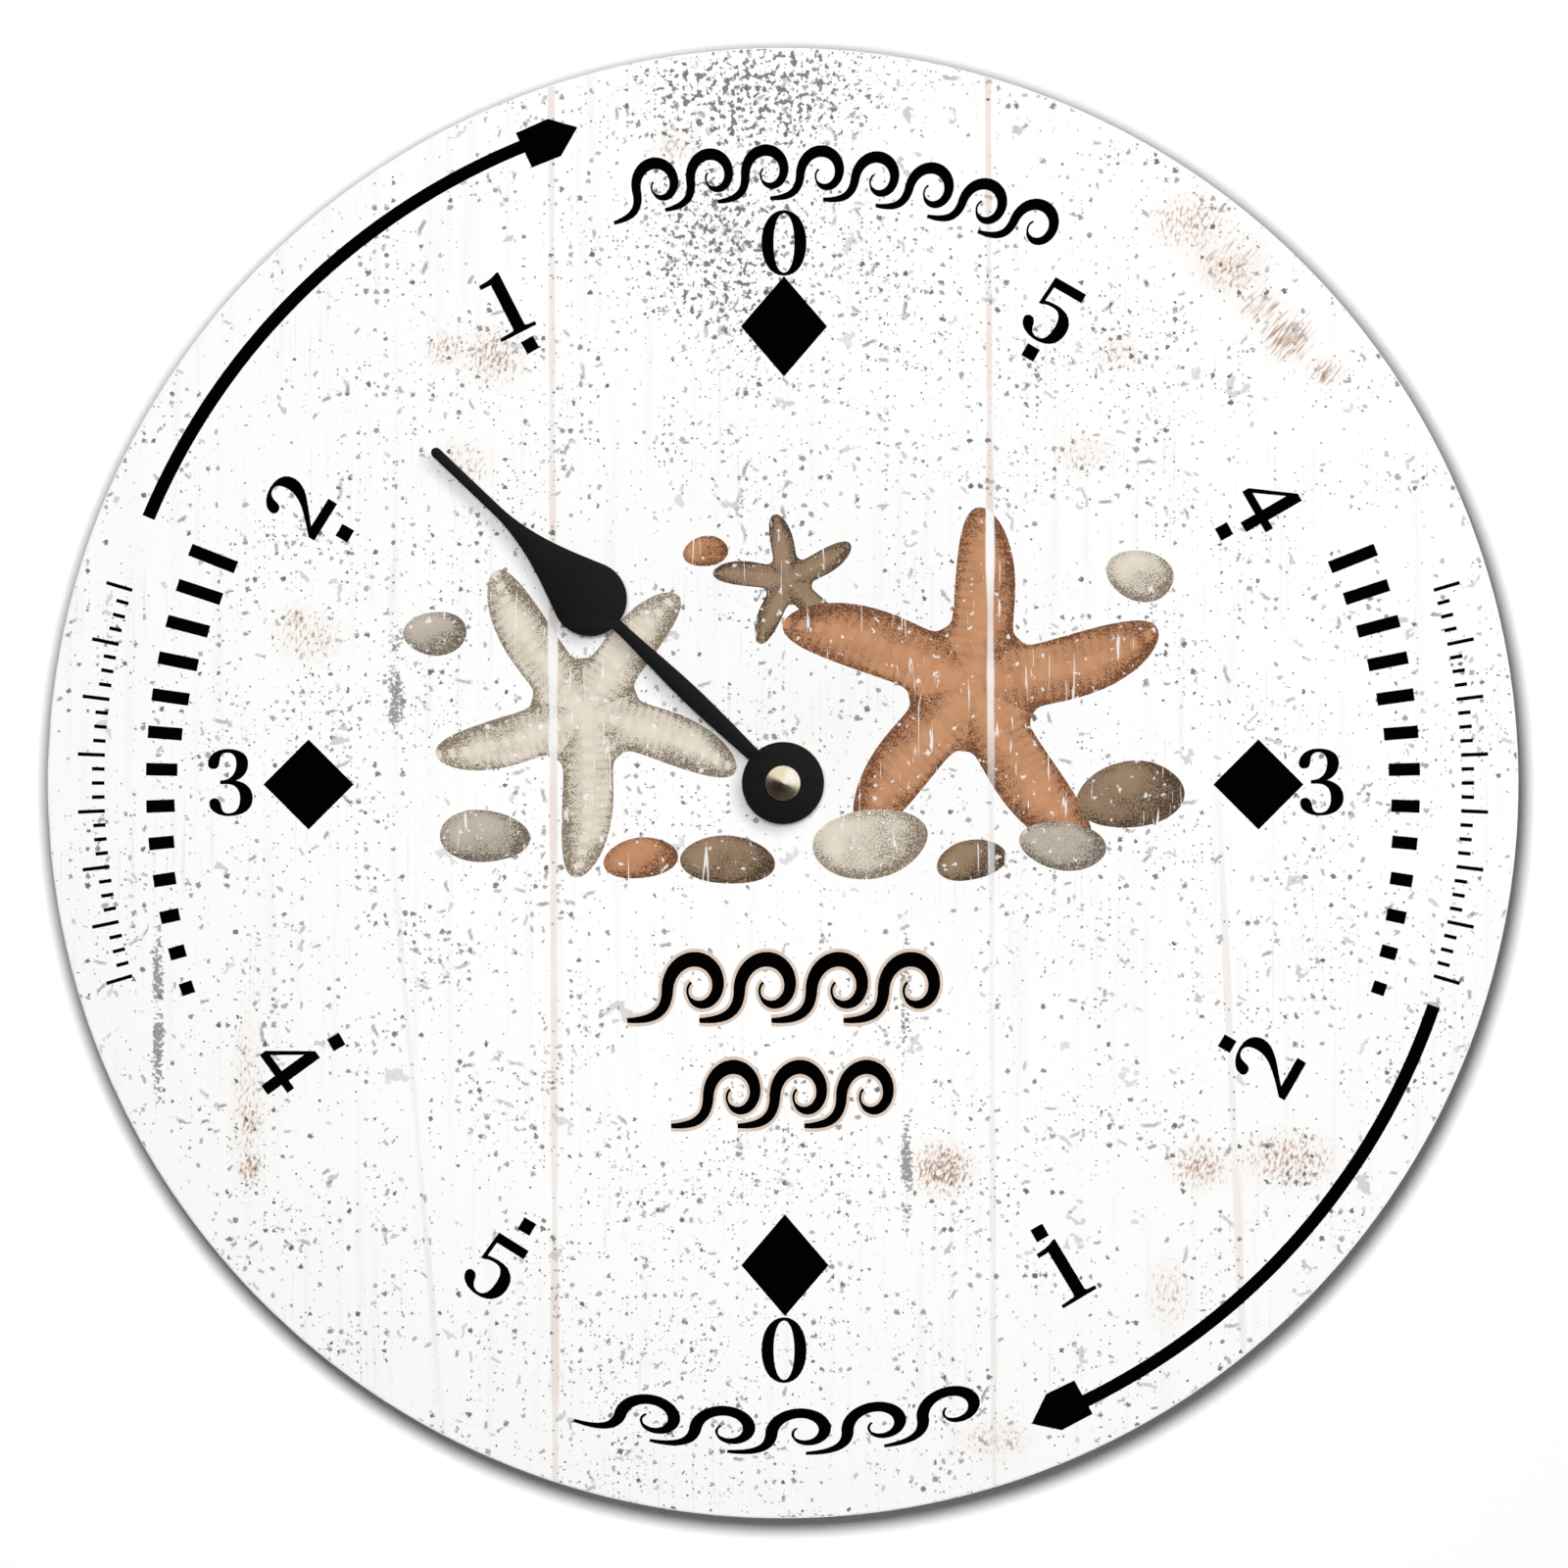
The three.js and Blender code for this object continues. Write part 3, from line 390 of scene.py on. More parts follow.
@sharedEffect
def raggedFlecks(vector, cells=0.5, cover=0.4, largest=0.32, ragged=0.6):
    # one at most in each cell
    wobble = noise(vector, cells * 3.1, output="Color").vector("SUBTRACT", (0.5, 0.5, 0.5))
    distance, place, (red, green, blue) = drawnCells(
        vector.vector("ADD", wobble.vector("SCALE", ragged / cells)), cells)
    radius = green.calc("POWER", 2.4) * largest + 0.075
    there = red.calc("LESS_THAN", cover) * blue.ramp(0, 1, 0.6, 1.0)
    return {"mask": distance.ramp(radius, radius * 0.7) * there}


@sharedEffect
def softPatch(vector, centre, halfSize):
    away = vector.vector("SUBTRACT", centre).vector("DIVIDE", halfSize)
    return {"mask": away.length().ramp(1.0, 0.15, smooth=True)}


@sharedEffect
def plankSeam(vector, drift=0.5, place=0.0, lean=0.0, halfWidth=0.6, low=-170.0, high=170.0, fade=25.0):
    # the joint between two planks, at one place across the dial, faded at its ends
    right, up, away = vector.parts()
    width = halfWidth * drift.ramp(0.3, 0.7, 0.7, 1.2)
    line = abs(right - (place + up * lean)).ramp(width, width * 0.55, smooth=True)
    ends = up.ramp(low, low + fade) * up.ramp(high, high - fade)
    return {"mask": line * ends * drift.ramp(0.3, 0.62, 0.55, 1.0)}


@sharedEffect
def looseDashes(vector, rough=0.5, cells=0.2, cover=0.3, halfLength=1.6, halfWidth=0.3):
    # short and bent, each in its own direction, one at most in each cell
    distance, place, (red, green, blue) = drawnCells(vector, cells)
    local = {"Vector": vector.vector("SUBTRACT", place), "Angle": green * math.tau}
    along, across, away = addValue(vector.tree, "VectorRotate", local, rotation_type="Z_AXIS").parts()
    bend = along * along * blue.ramp(0, 1, -0.09, 0.09)
    off = abs(across + bend + rough.ramp(0.3, 0.7, -0.16, 0.16))
    reach = halfLength * blue.ramp(0, 1, 0.35, 1.0)
    inside = abs(along).ramp(reach, reach * 0.5) * off.ramp(halfWidth, halfWidth * 0.45)
    there = red.calc("LESS_THAN", cover) * green.ramp(0, 1, 0.55, 1.0)
    return {"mask": inside * there}


@sharedEffect
def stipple(vector, dots=1.6, tone=0.5):
    # ink dots that grow with the tone
    distance, place, draws = drawnCells(vector, dots)
    reach = tone * draws[0].ramp(0, 1, 0.45, 1.0)
    return {"mask": distance.ramp(reach, reach - 0.18)}


@sharedEffect
def scratches(vector, amount=0.5):
    # fine pale scratches and rubbed spots
    levels = (0.76, 0.60)
    lines = noise(vector.mapped((0.9, 0.07, 1)), 1.0, 3.0, distortion=0.6)
    spots = noise(vector, 0.55, 4.0)
    return {"mask": strongest((passed(lines, amount, levels, 0.03), passed(spots, amount, levels, 0.04)))}


@sharedEffect
def surfaceTouch(vector, fine=4.0, broad=0.15):
    # the slight unevenness of any moulded, rolled or painted surface
    small, large = noise(vector, fine, 3.0, flat=False), noise(vector, broad, 4.0, flat=False)
    return {"tone": (small * 0.35 + large * 0.65).ramp(0.3, 0.7, smooth=True), "height": small}


@sharedEffect
def woodGrain(vector, lines=0.5):
    # long grain that runs up the board
    drawnOut = vector.vector("SCALE", lines).mapped((1, 1, 0.045))
    sway = noise(drawnOut, 0.35, 3.0, flat=False, distortion=0.8)
    grain = (sway * 42.0).calc("SINE") * 0.22 + sway * 0.9
    pores = noise(drawnOut, 3.2, 4.0, flat=False)
    return {"grain": grain.ramp(0.1, 0.8), "pores": pores.ramp(0.52, 0.68)}


print("shared effects made")


# Finishes

def varied(tone, colour, vary):
    # from a little darker to a little lighter than the colour
    dark, light = ([min(1, c * share) for c in colour] for share in (1 - vary, 1 + vary))
    return blended(tone, dark, light)


def makeFinish(name, colour, roughness, vary=0.12, fine=4.0, broad=0.15, bump=0.15, **plain):
    # an even finish with a little life in its colour, gloss and surface
    material, tree, shader = newMaterial(name, **plain)
    tone, height = surfaceTouch(millimetres(tree), fine, broad)
    varied(tone, colour, vary).to(shader.inputs["Base Color"])
    tone.ramp(0, 1, roughness * 0.88, min(1, roughness * 1.12)).to(shader.inputs["Roughness"])
    addRelief(shader, height, bump)
    return material


def makeTurnedFinish(name, colour, roughness, pitch, bump=0.1, vary=0.08):
    # metal from the lathe, with fine rings round the hand's axis
    material, tree, shader = newMaterial(name, Metallic=1.0)
    place = millimetres(tree)
    ringsAt = addValue(tree, "CombineXYZ", {"X": fromAxis(tree), "Y": place.parts()[1]})
    rings = noise(ringsAt, 1 / pitch, flat=False)
    varied(surfaceTouch(place, 6.0, 0.5)[0], colour, vary).to(shader.inputs["Base Color"])
    rings.ramp(0.3, 0.7, roughness * 0.7, roughness * 1.3).to(shader.inputs["Roughness"])
    addRelief(shader, rings, bump, 0.00005)
    return material


# Wooden board: painted edge, plain wood at the back

board = {
    "radius": 152.4, "back": 18.45, "front": 24.45, "chamfer": 0.6, "hole": 4.2, "steps": 288, "edge": 0.2,
    "wood": (0.66, 0.54, 0.40), "woodDark": (0.42, 0.31, 0.20), "paint": (0.95, 0.945, 0.93),
    "bounce": (0.40, 0.40, 0.40), "grainLines": 0.55, "rubbed": 0.25,
    # the edge paint: how unevenly it ends, and where it fades past the radius and behind the front
    "paintUneven": 1.4, "paintEnd": (0.1, 0.4), "paintDepth": (0.8, 0.5),
}


def makeBoardFinish():
    material, tree, shader = newMaterial("board wood and edge paint")
    place = millimetres(tree)
    grain, pores = woodGrain(place, board["grainLines"])
    wood = blended(grain, board["woodDark"], board["wood"])
    wood = blended(pores * 0.55, wood, board["woodDark"])
    edge = fromAxis(tree) + noise(place, 0.2, flat=False) * board["paintUneven"]
    rim = edge.ramp(*(board["radius"] + past for past in board["paintEnd"]))
    front = place.parts()[1].ramp(*(depth - board["front"] for depth in board["paintDepth"]))
    painted = strongest((rim, front)) * scratches(place, board["rubbed"]).ramp(0, 1, 1.0, 0.4)
    # light that bounces off the back stays grey, so that the shadow on the wall does too
    wood = blended(addValue(tree, "LightPath", output="Is Diffuse Ray"), wood, board["bounce"])
    blended(painted, wood, board["paint"]).to(shader.inputs["Base Color"])
    painted.ramp(0, 1, 0.78, 0.6).to(shader.inputs["Roughness"])
    addRelief(shader, painted - pores * 0.7, 0.25)
    return material


def makeBoard():
    radius, inset = board["radius"], board["radius"] - board["chamfer"]
    back, front = board["back"], board["front"]
    bm = turnedShape([
        (board["hole"], back), (inset, back), (radius, back + board["chamfer"]),
        (radius, front), (board["hole"], front),
    ], board["steps"])
    roundEdges(bm, board["edge"])
    finishPiece(bm, "board", makeBoardFinish(), "board_wood", nodes=["dial_board"])


makeBoard()
print("board made")


# Printed face: white-washed planks, worn and flecked

face = {
    "radius": 152.1, "back": 24.5, "front": 24.75, "hole": 4.2, "steps": 288, "edge": 0.06,
    "white": (0.985, 0.985, 0.98), "grain": (0.86, 0.85, 0.84), "seam": (0.82, 0.73, 0.68),
    "scuff": (0.36, 0.175, 0.085), "wash": (0.90, 0.79, 0.70), "rub": (0.22, 0.22, 0.22),
    "dash": (0.28, 0.28, 0.28), "fleck": (0.10, 0.10, 0.10), "flake": (0.13, 0.13, 0.13),
    # noise drawn out into lines: direction in degrees, length, width
    "grainLines": (90, 80, 2.4), "streakLines": (90, 26, 0.75), "brushLines": (50, 4.2, 0.5),
    "smudgeLines": (78, 1.3, 0.6), "rubLines": (0, 0.9, 0.7),
    # flecks, coarse and fine, and pale blots: cells in a millimetre, share of the cover, largest
    "fleckLayers": [(0.52, 0.95, 0.30), (1.05, 0.55, 0.24)], "blots": (0.085, 0.26, 0.07),
    # dashes, long to short: cells in a millimetre, half length, half width
    "dashLayers": [(0.12, 2.6, 0.5), (0.2, 1.6, 0.42), (0.34, 1.0, 0.4)],
    # plank seams, then cracks: place across the dial, lean, half width, strength, lower and upper end
    "seams": [(-47.6, -0.003, 0.95, 1.15, -180, 180), (43.1, -0.0042, 0.85, 1.3, -10, 180),
              (43.1, -0.0042, 0.8, 0.75, -180, 15)],
    "cracks": [(-82.1, -0.087, 0.75, 0.55, -140, -10), (90.2, -0.044, 0.9, 0.65, -140, 5)],
    # brown dry-brush strokes along the rim, then blotchy smudges: centre, half size, strength
    "strokes": [((104.5, 92.5), (9, 9), 1.0), ((99, 99), (8, 7), 0.78), ((93, 108), (14, 11), 0.66),
                ((112, 85.5), (7, 5), 0.85)],
    "smudges": [((-60, 88.5), (10, 10), 0.8), ((-70, 90), (7, 6), 0.72), ((-98, 30), (12, 9), 0.66),
                ((-101, 34), (5, 5), 0.85), ((-111, -66), (6, 32), 0.62), ((-110.5, -70), (4.5, 8), 0.85),
                ((-110.5, -80), (4.5, 6), 0.95), ((86.5, -79.5), (11, 8), 0.85), ((105, -78), (17, 10), 0.8),
                ((33, -80), (11, 9), 1.0), ((84, 116), (14, 10), 0.74), ((92, 106), (11, 8), 0.74),
                ((-44, 149), (13, 4), 0.7), ((69, 89), (9, 5), 0.62), ((62, 68), (10, 7), 0.6),
                ((-44, 24), (14, 7), 0.62), ((80, -106), (8, 12), 0.6), ((44, -136), (12, 7), 0.66),
                ((-22, 132), (8, 6), 0.6), ((-66, 66), (9, 9), 0.6)],
    # grey rubbed lines: centre, half size, strength
    "rubs": [((-80.3, 17), (3.4, 14), 1.0), ((-80.3, 30), (3.0, 9), 0.7), ((-129.5, -48), (2.4, 33), 1.0),
             ((25.3, -44), (2.3, 27), 0.85), ((25.6, -80), (2.3, 22), 1.0)],
    # places with more dashes: centre, half size, how much more
    "smears": [((39, -16), (9, 6), 0.9), ((-52, -60), (16, 16), 0.8), ((66, -46), (9, 6), 1.0),
               ((-110, -96), (13, 14), 0.8), ((-58, -28), (26, 10), 0.6), ((24, 66), (20, 16), 0.5)],
    # places with more flecks: centre, half size, how much more
    "thick": [((-6, 143), (44, 24), 1.0), ((-12, 112), (34, 40), 0.9), ((14, 98), (48, 40), 0.4),
              ((-24, -128), (56, 34), 0.42), ((-98, -20), (36, 70), 0.16), ((34, -84), (16, 26), 0.34),
              ((72, 82), (34, 34), 0.34), ((0, -78), (44, 30), 0.4), ((-61, 77), (36, 32), 0.26),
              ((-91, 20), (34, 38), 0.3), ((0, 76), (44, 30), 0.22), ((-18, -91), (26, 26), 0.42)],
}


def drawnLines(flat, turn, length, width):
    return noise(flat.mapped((length, width, 1), turn, "TEXTURE"), 1.0, 3.0)


def patches(flat, places):
    # the strongest of several soft patches at each point
    return strongest(
        softPatch(flat, (*centre, 0), (*half, 1)) * strength for centre, half, strength in places)


def plankSeams(flat, seams, wider=1.0):
    drift = noise(flat, 0.035)
    return strongest(
        plankSeam(flat, drift, place, lean, half * wider, low, high) * strength
        for place, lean, half, strength, low, high in seams)


def planks(flat, grain):
    colour = blended(grain.ramp(0.56, 0.8, 0, 0.4), face["white"], face["grain"])
    colour = blended(plankSeams(flat, face["seams"] + face["cracks"]) * 0.8, colour, face["seam"])
    streaks = drawnLines(flat, *face["streakLines"]).ramp(0.63, 0.77, 0, 0.5)
    return blended(streaks * noise(flat, 0.022).ramp(0.42, 0.6), colour, face["seam"])


def scuffed(flat, colour, places, lines):
    # brown paint brushed on dry over a pale wash
    patch, pattern = patches(flat, places), drawnLines(flat, *lines)
    wash = patch.ramp(0.1, 0.9) * pattern.ramp(0.35, 0.6, 0.2, 0.75)
    colour = blended(wash, colour, face["wash"])
    brush = passed(pattern, patch, (0.78, 0.38), 0.24, 0.85)
    return blended(brush * patch.ramp(0.0, 0.25), colour, face["scuff"])


def rubbed(flat, colour):
    patch = patches(flat, face["rubs"]) * noise(flat, 0.16).ramp(0.36, 0.52, 0.5, 1.0)
    lines = passed(drawnLines(flat, *face["rubLines"]), patch, (0.82, 0.31), 0.1, 0.85)
    return blended(lines * patch.ramp(0.0, 0.2), colour, face["rub"])


def dashed(flat, colour, cover):
    rough = noise(flat, 1.05)
    dashes = strongest(
        looseDashes(flat, rough, cells, cover, half, width) for cells, half, width in face["dashLayers"])
    return blended(dashes * 0.85, colour, face["dash"])


def wornFace(flat):
    # the washed planks with all their wear: colour, bare spots and grain
    grain = drawnLines(flat, *face["grainLines"])
    colour = planks(flat, grain)
    colour = scuffed(flat, colour, face["strokes"], face["brushLines"])
    colour = scuffed(flat, colour, face["smudges"], face["smudgeLines"])
    colour = rubbed(flat, colour)

    thick, smears = patches(flat, face["thick"]), patches(flat, face["smears"])
    cover = noise(flat, 0.05, 3.0).ramp(0.40, 0.66, 0.06, 0.5) + thick * 0.5
    colour = dashed(flat, colour, cover * 0.42 + smears * 0.5)
    flakes = passed(noise(flat, 0.72, 4.0), strongest((thick, smears * 0.42)), (0.78, 0.55), 0.025)
    colour = blended(flakes * 0.9, colour, face["flake"])
    flecks = strongest(
        raggedFlecks(flat, cells, cover * share, largest, 0.55)
        for cells, share, largest in face["fleckLayers"])
    colour = blended(flecks * 0.95, colour, face["fleck"])
    colour = blended(raggedFlecks(flat, *face["blots"], 0.8) * 0.55, colour, face["dash"])
    return colour, strongest((flecks, flakes)), grain


def makeFaceFinish():
    material, tree, shader = newMaterial("washed plank print", Specular_IOR_Level=0.3)
    colour, bare, grain = wornFace(dialPlane(tree))
    colour.to(shader.inputs["Base Color"])
    bare.ramp(0, 1, 0.62, 0.75).to(shader.inputs["Roughness"])
    addRelief(shader, grain - bare * 0.3, 0.06)
    return material


def makeFace():
    bm = ringShape(*(face[name] for name in ("hole", "radius", "back", "front", "steps")))
    roundEdges(bm, face["edge"])
    finishPiece(bm, "face_print", makeFaceFinish(), "printed_face", nodes=["dial_print"])


makeFace()
print("face made")


# Black marks of the dial

ink = {"back": 24.74, "front": 24.79, "colour": (0.0008, 0.0008, 0.0008)}
inkFinish = makeFinish("dial ink", ink["colour"], 0.6, vary=0.4, fine=1.5, broad=0.1, bump=0.05,
                       Specular_IOR_Level=0.0)


def makeMarks(name, outlines, material=inkFinish, front=ink["front"], grow=0.0):
    finishPiece(flatShape(outlines, ink["back"], front, grow=grow), name, material, "printed_face")


numerals = {
    "unit": 0.04352,  # millimetres for one unit of the outlines below, drawn with y down
    "grow": 0.06,
    "0": [pathPoints((211, 45), (275, 45, 317, 112, 317, 200), (317, 290, 275, 355, 211, 355),
                     (147, 355, 105, 290, 105, 200), (105, 112, 147, 45, 211, 45)),
          pathPoints((211, 58), (180, 58, 160, 118, 160, 200), (160, 282, 180, 343, 211, 343),
                     (242, 343, 262, 282, 262, 200), (262, 118, 242, 58, 211, 58))],
    "1": [pathPoints((152, 46), (196, 46, 226, 40, 250, 28), (262, 28), (262, 300),
                     (262, 309, 268, 313, 280, 313), (312, 316), (312, 331), (128, 331), (128, 316),
                     (186, 313), (198, 313, 205, 309, 205, 300), (205, 66), (152, 66))],
    "2": [pathPoints((92, 342), (92, 312), (185, 226, 235, 176, 235, 112), (235, 70, 222, 46, 195, 46),
                     (173, 46, 158, 58, 152, 86), (148, 108, 142, 122, 122, 122),
                     (107, 122, 97, 114, 97, 99), (97, 64, 140, 33, 198, 33),
                     (255, 33, 292, 62, 292, 112), (292, 182, 212, 228, 138, 296), (296, 296), (296, 342))],
    "3": [pathPoints((155, 195), (200, 195, 232, 166, 232, 112), (232, 80, 215, 60, 190, 60),
                     (165, 60, 152, 75, 150, 102), (148, 125, 142, 138, 122, 138),
                     (106, 138, 97, 129, 97, 115), (97, 75, 135, 45, 190, 45),
                     (250, 45, 286, 70, 286, 112), (286, 152, 262, 182, 226, 194),
                     (280, 204, 308, 236, 308, 278), (308, 330, 262, 362, 195, 362),
                     (140, 362, 103, 336, 103, 302), (103, 288, 113, 280, 127, 280),
                     (148, 280, 155, 298, 158, 318), (161, 340, 172, 351, 194, 351),
                     (230, 351, 250, 325, 250, 278), (250, 235, 225, 210, 188, 210), (155, 210))],
    "4": [[(98, 238), (98, 205), (238, 15), (275, 15), (275, 200), (320, 200), (320, 238), (272, 238),
           (272, 318), (221, 318), (221, 238)],
          [(221, 200), (221, 64), (124, 200)]],
    "5": [pathPoints((153, 72), (318, 72), (318, 116), (169, 116), (163, 194),
                     (180, 188, 205, 186, 228, 186), (285, 186, 327, 220, 327, 275),
                     (327, 335, 290, 377, 220, 377), (160, 377, 117, 346, 117, 312),
                     (117, 297, 127, 289, 141, 289), (160, 289, 168, 305, 172, 325),
                     (178, 350, 192, 364, 218, 364), (252, 364, 268, 330, 268, 275),
                     (268, 225, 248, 202, 212, 202), (185, 202, 170, 207, 160, 214), (144, 216))],
    # digit, place right and up, turn
    "places": [("0", 0.2, 111.9, 0), ("5", 55.8, 97.5, 30), ("4", 100.3, 57.7, 60), ("3", 111.5, 0.2, 0),
               ("2", 100.3, -58.5, -60), ("1", 58.1, -101.1, -31), ("0", 0.2, -117.5, 0),
               ("5", -59.8, -100.4, 32), ("4", -103.0, -58.45, 54), ("3", -114.5, 0.1, 0),
               ("2", -100.5, 57.6, -58), ("1", -57.7, 99.1, -27)],
}


def makeNumerals():
    outlines = []
    for digit, x, y, turn in numerals["places"]:
        drawn = numerals[digit]
        xs, ys = zip(*drawn[0])
        middle = ((min(xs) + max(xs)) / 2, (min(ys) + max(ys)) / 2)
        for points in drawn:
            upright = [(px - middle[0], middle[1] - py) for px, py in points]
            outlines.append(placed(upright, (x, y), turn, numerals["unit"]))
    makeMarks("ink_numerals", outlines, grow=numerals["grow"])


dialMarks = {
    # diamonds: place right and up, half width, half height
    "diamonds": [(0.2, 94.6, 8.95, 10.4), (98.5, -0.3, 9.35, 9.35), (0.4, -99.9, 9.05, 10.55),
                 (-98.3, -0.3, 9.35, 9.35)],
    # dots: radius and angle
    "dotSide": 2.85,
    "dots": [(102.9, 29.9), (105.2, 60.3), (106.7, 120.4), (107.3, 150.3), (106.1, 210.0),
             (107.0, 239.9), (104.5, 299.7), (104.8, 330.0)],
    "arcRadius": 142.5, "arcWidth": 2.7, "arcFrom": -67.3, "arcTo": -21.5, "arcTurns": (0, 176.2),
    "arcSteps": 72,
    # arrow head: radius and angle of its corners, and how far it stands above the strip
    "head": [(145.6, -22.35), (146.0, -19.5), (142.4, -17.4), (137.8, -19.5), (137.7, -22.2)],
    "headLift": 0.005,
}


def arrowShape(turn):
    # a strip spun round the dial, with a pointed head
    bm = bmesh.new()
    ends = [dialMarks["arcRadius"] + side * dialMarks["arcWidth"] / 2 for side in (-1, 1)]
    verts = [bm.verts.new((*polar(r, dialMarks["arcFrom"] + turn), ink["back"])) for r in ends]
    sweep = math.radians(dialMarks["arcFrom"] - dialMarks["arcTo"])
    bmesh.ops.spin(bm, geom=verts + [bm.edges.new(verts)], cent=(0, 0, 0), axis=(0, 0, 1), dvec=(0, 0, 0),
                   angle=sweep, steps=dialMarks["arcSteps"])
    lifted(bm, ink["front"] - ink["back"])
    corners = [polar(radius, angle + turn) for radius, angle in dialMarks["head"]]
    head = flatShape([corners], ink["back"], ink["front"] + dialMarks["headLift"])
    joined = bpy.data.meshes.new("head")
    head.to_mesh(joined)
    head.free()
    bm.from_mesh(joined)
    bpy.data.meshes.remove(joined)
    return bm


def makeDialMarks():
    makeMarks("ink_diamonds", [
        [(x, y + high), (x + wide, y), (x, y - high), (x - wide, y)]
        for x, y, wide, high in dialMarks["diamonds"]])

    half = dialMarks["dotSide"] / 2
    square = barPoints(half, -half, half)
    dots = [placed(square, polar(radius, angle), angle) for radius, angle in dialMarks["dots"]]
    makeMarks("ink_dots", dots)

    for number, turn in enumerate(dialMarks["arcTurns"], 1):
        finishPiece(arrowShape(turn), "ink_arrow_%d" % number, inkFinish, "printed_face")


ornaments = {
    # one wave of unit length: a stroke from the water line that curls over to the right
    "start": (-0.55, 0.06), "pull": (-0.2, 0.14), "curlAt": (0.43, 0.47), "curl": 0.42, "curlTurn": 395,
    "windIn": 0.74, "thin": 0.018, "swell": 0.075, "overhang": 0.42, "crest": 0.96,
    # curling waves on an arc: base radius, first and last angle, waves, height towards the rim
    "arcs": {"high": (120.4, -16.8, 26.8, 8, 12.6), "low": (139.6, 198.2, 161.8, 5, -10.5)},
    # rows of waves in the lower middle: left, right, base, waves, height
    "rows": [(-32.3, 33.7, -50.2, 4, 16.0), (-23.2, 24.0, -72.0, 3, 15.4)],
    "edge": 0.042, "edgeInk": (0.70, 0.58, 0.49), "edgeFront": 24.77,
    # rising and falling bars: outer radius, first and last angle, bars, shortest, longest, width
    "bars": {"rise": (132.0, -109.0, -68.5, 13, 2.8, 10.2, 2.6),
             "fall": (132.0, 109.0, 68.5, 13, 2.8, 10.2, 2.6)},
    # fine scales near the rim: inner radius, first and last angle, ticks, short, long, width
    "scales": [(140.6, -106.5, -73.5, 29, 2.6, 5.6, 0.75), (140.6, 106.5, 73.5, 29, 2.6, 5.6, 0.75)],
    "longTick": 4,
}


def waveLine():
    # the middle of the stroke: a rise, then a curl that winds in
    start, pull, curl = ornaments["start"], ornaments["pull"], ornaments["curl"]
    middleX, middleY = ornaments["curlAt"]
    left = middleX - curl
    line = pathPoints(start, (pull[0], start[1], left, pull[1], left, middleY), resolution=14)
    steps = 40
    for i in range(1, steps + 1):
        share = i / steps
        turn = math.pi - math.radians(ornaments["curlTurn"]) * share
        radius = curl * (1 - ornaments["windIn"] * share)
        line.append((middleX + radius * math.cos(turn), middleY + radius * math.sin(turn)))
    return line


def waveOutline(wider):
    line = waveLine()
    left, right = [], []
    last = len(line) - 1
    for i, (x, y) in enumerate(line):
        before, after = line[max(i - 1, 0)], line[min(i + 1, last)]
        heading = math.atan2(after[1] - before[1], after[0] - before[0])
        swell = math.sin(math.pi * min(1, i / last * 1.15 + 0.03)) ** 0.8
        half = wider + ornaments["thin"] + ornaments["swell"] * swell
        left.append((x - half * math.sin(heading), y + half * math.cos(heading)))
        right.append((x + half * math.sin(heading), y - half * math.cos(heading)))
    return left + right[::-1]


def waveRow(count, wider=0.0):
    # (share of the length, share of the height) outlines of a row of waves
    length, start, crest = count + ornaments["overhang"], ornaments["start"][0], ornaments["crest"]
    outline = waveOutline(wider)
    return [[((x - start + i) / length, y / crest) for x, y in outline] for i in range(count)]


def makeWaves():
    for name, (radius, first, last, count, height) in ornaments["arcs"].items():
        makeMarks("ink_waves_" + name, [
            [polar(radius + up * height, first + share * (last - first)) for share, up in outline]
            for outline in waveRow(count)])

    # the middle rows have a pale brown edge
    edgeInk = makeFinish("pale brown ink", ornaments["edgeInk"], 0.6, fine=1.5, broad=0.2, bump=0.05,
                         Specular_IOR_Level=0.2)
    for name, material, front, wider in (
        ("ink_wave_edges", edgeInk, ornaments["edgeFront"], ornaments["edge"]),
        ("ink_wave_rows", inkFinish, ink["front"], 0.0),
    ):
        waves = []
        for left, right, base, count, height in ornaments["rows"]:
            for outline in waveRow(count, wider):
                waves.append([(left + share * (right - left), base + up * height) for share, up in outline])
        makeMarks(name, waves, material, front)


def makeBars():
    for name, (radius, first, last, count, short, long, width) in ornaments["bars"].items():
        bars = []
        for i in range(count):
            share = i / (count - 1)
            angle = first + share * (last - first)
            bar = barPoints(width / 2, -short - (long - short) * share, 0)
            bars.append(placed(bar, polar(radius, angle), angle))
        makeMarks("ink_bars_" + name, bars)

    ticks = []
    for radius, first, last, count, short, long, width in ornaments["scales"]:
        for i in range(count):
            angle = first + (last - first) * i / (count - 1)
            tick = barPoints(width / 2, 0, short if i % ornaments["longTick"] else long)
            ticks.append(placed(tick, polar(radius, angle), angle))
    makeMarks("ink_scales", ticks)


makeNumerals()
makeDialMarks()
makeWaves()
makeBars()
print("dial marks made")


# Printed picture: sea stars and pebbles, stippled and rubbed

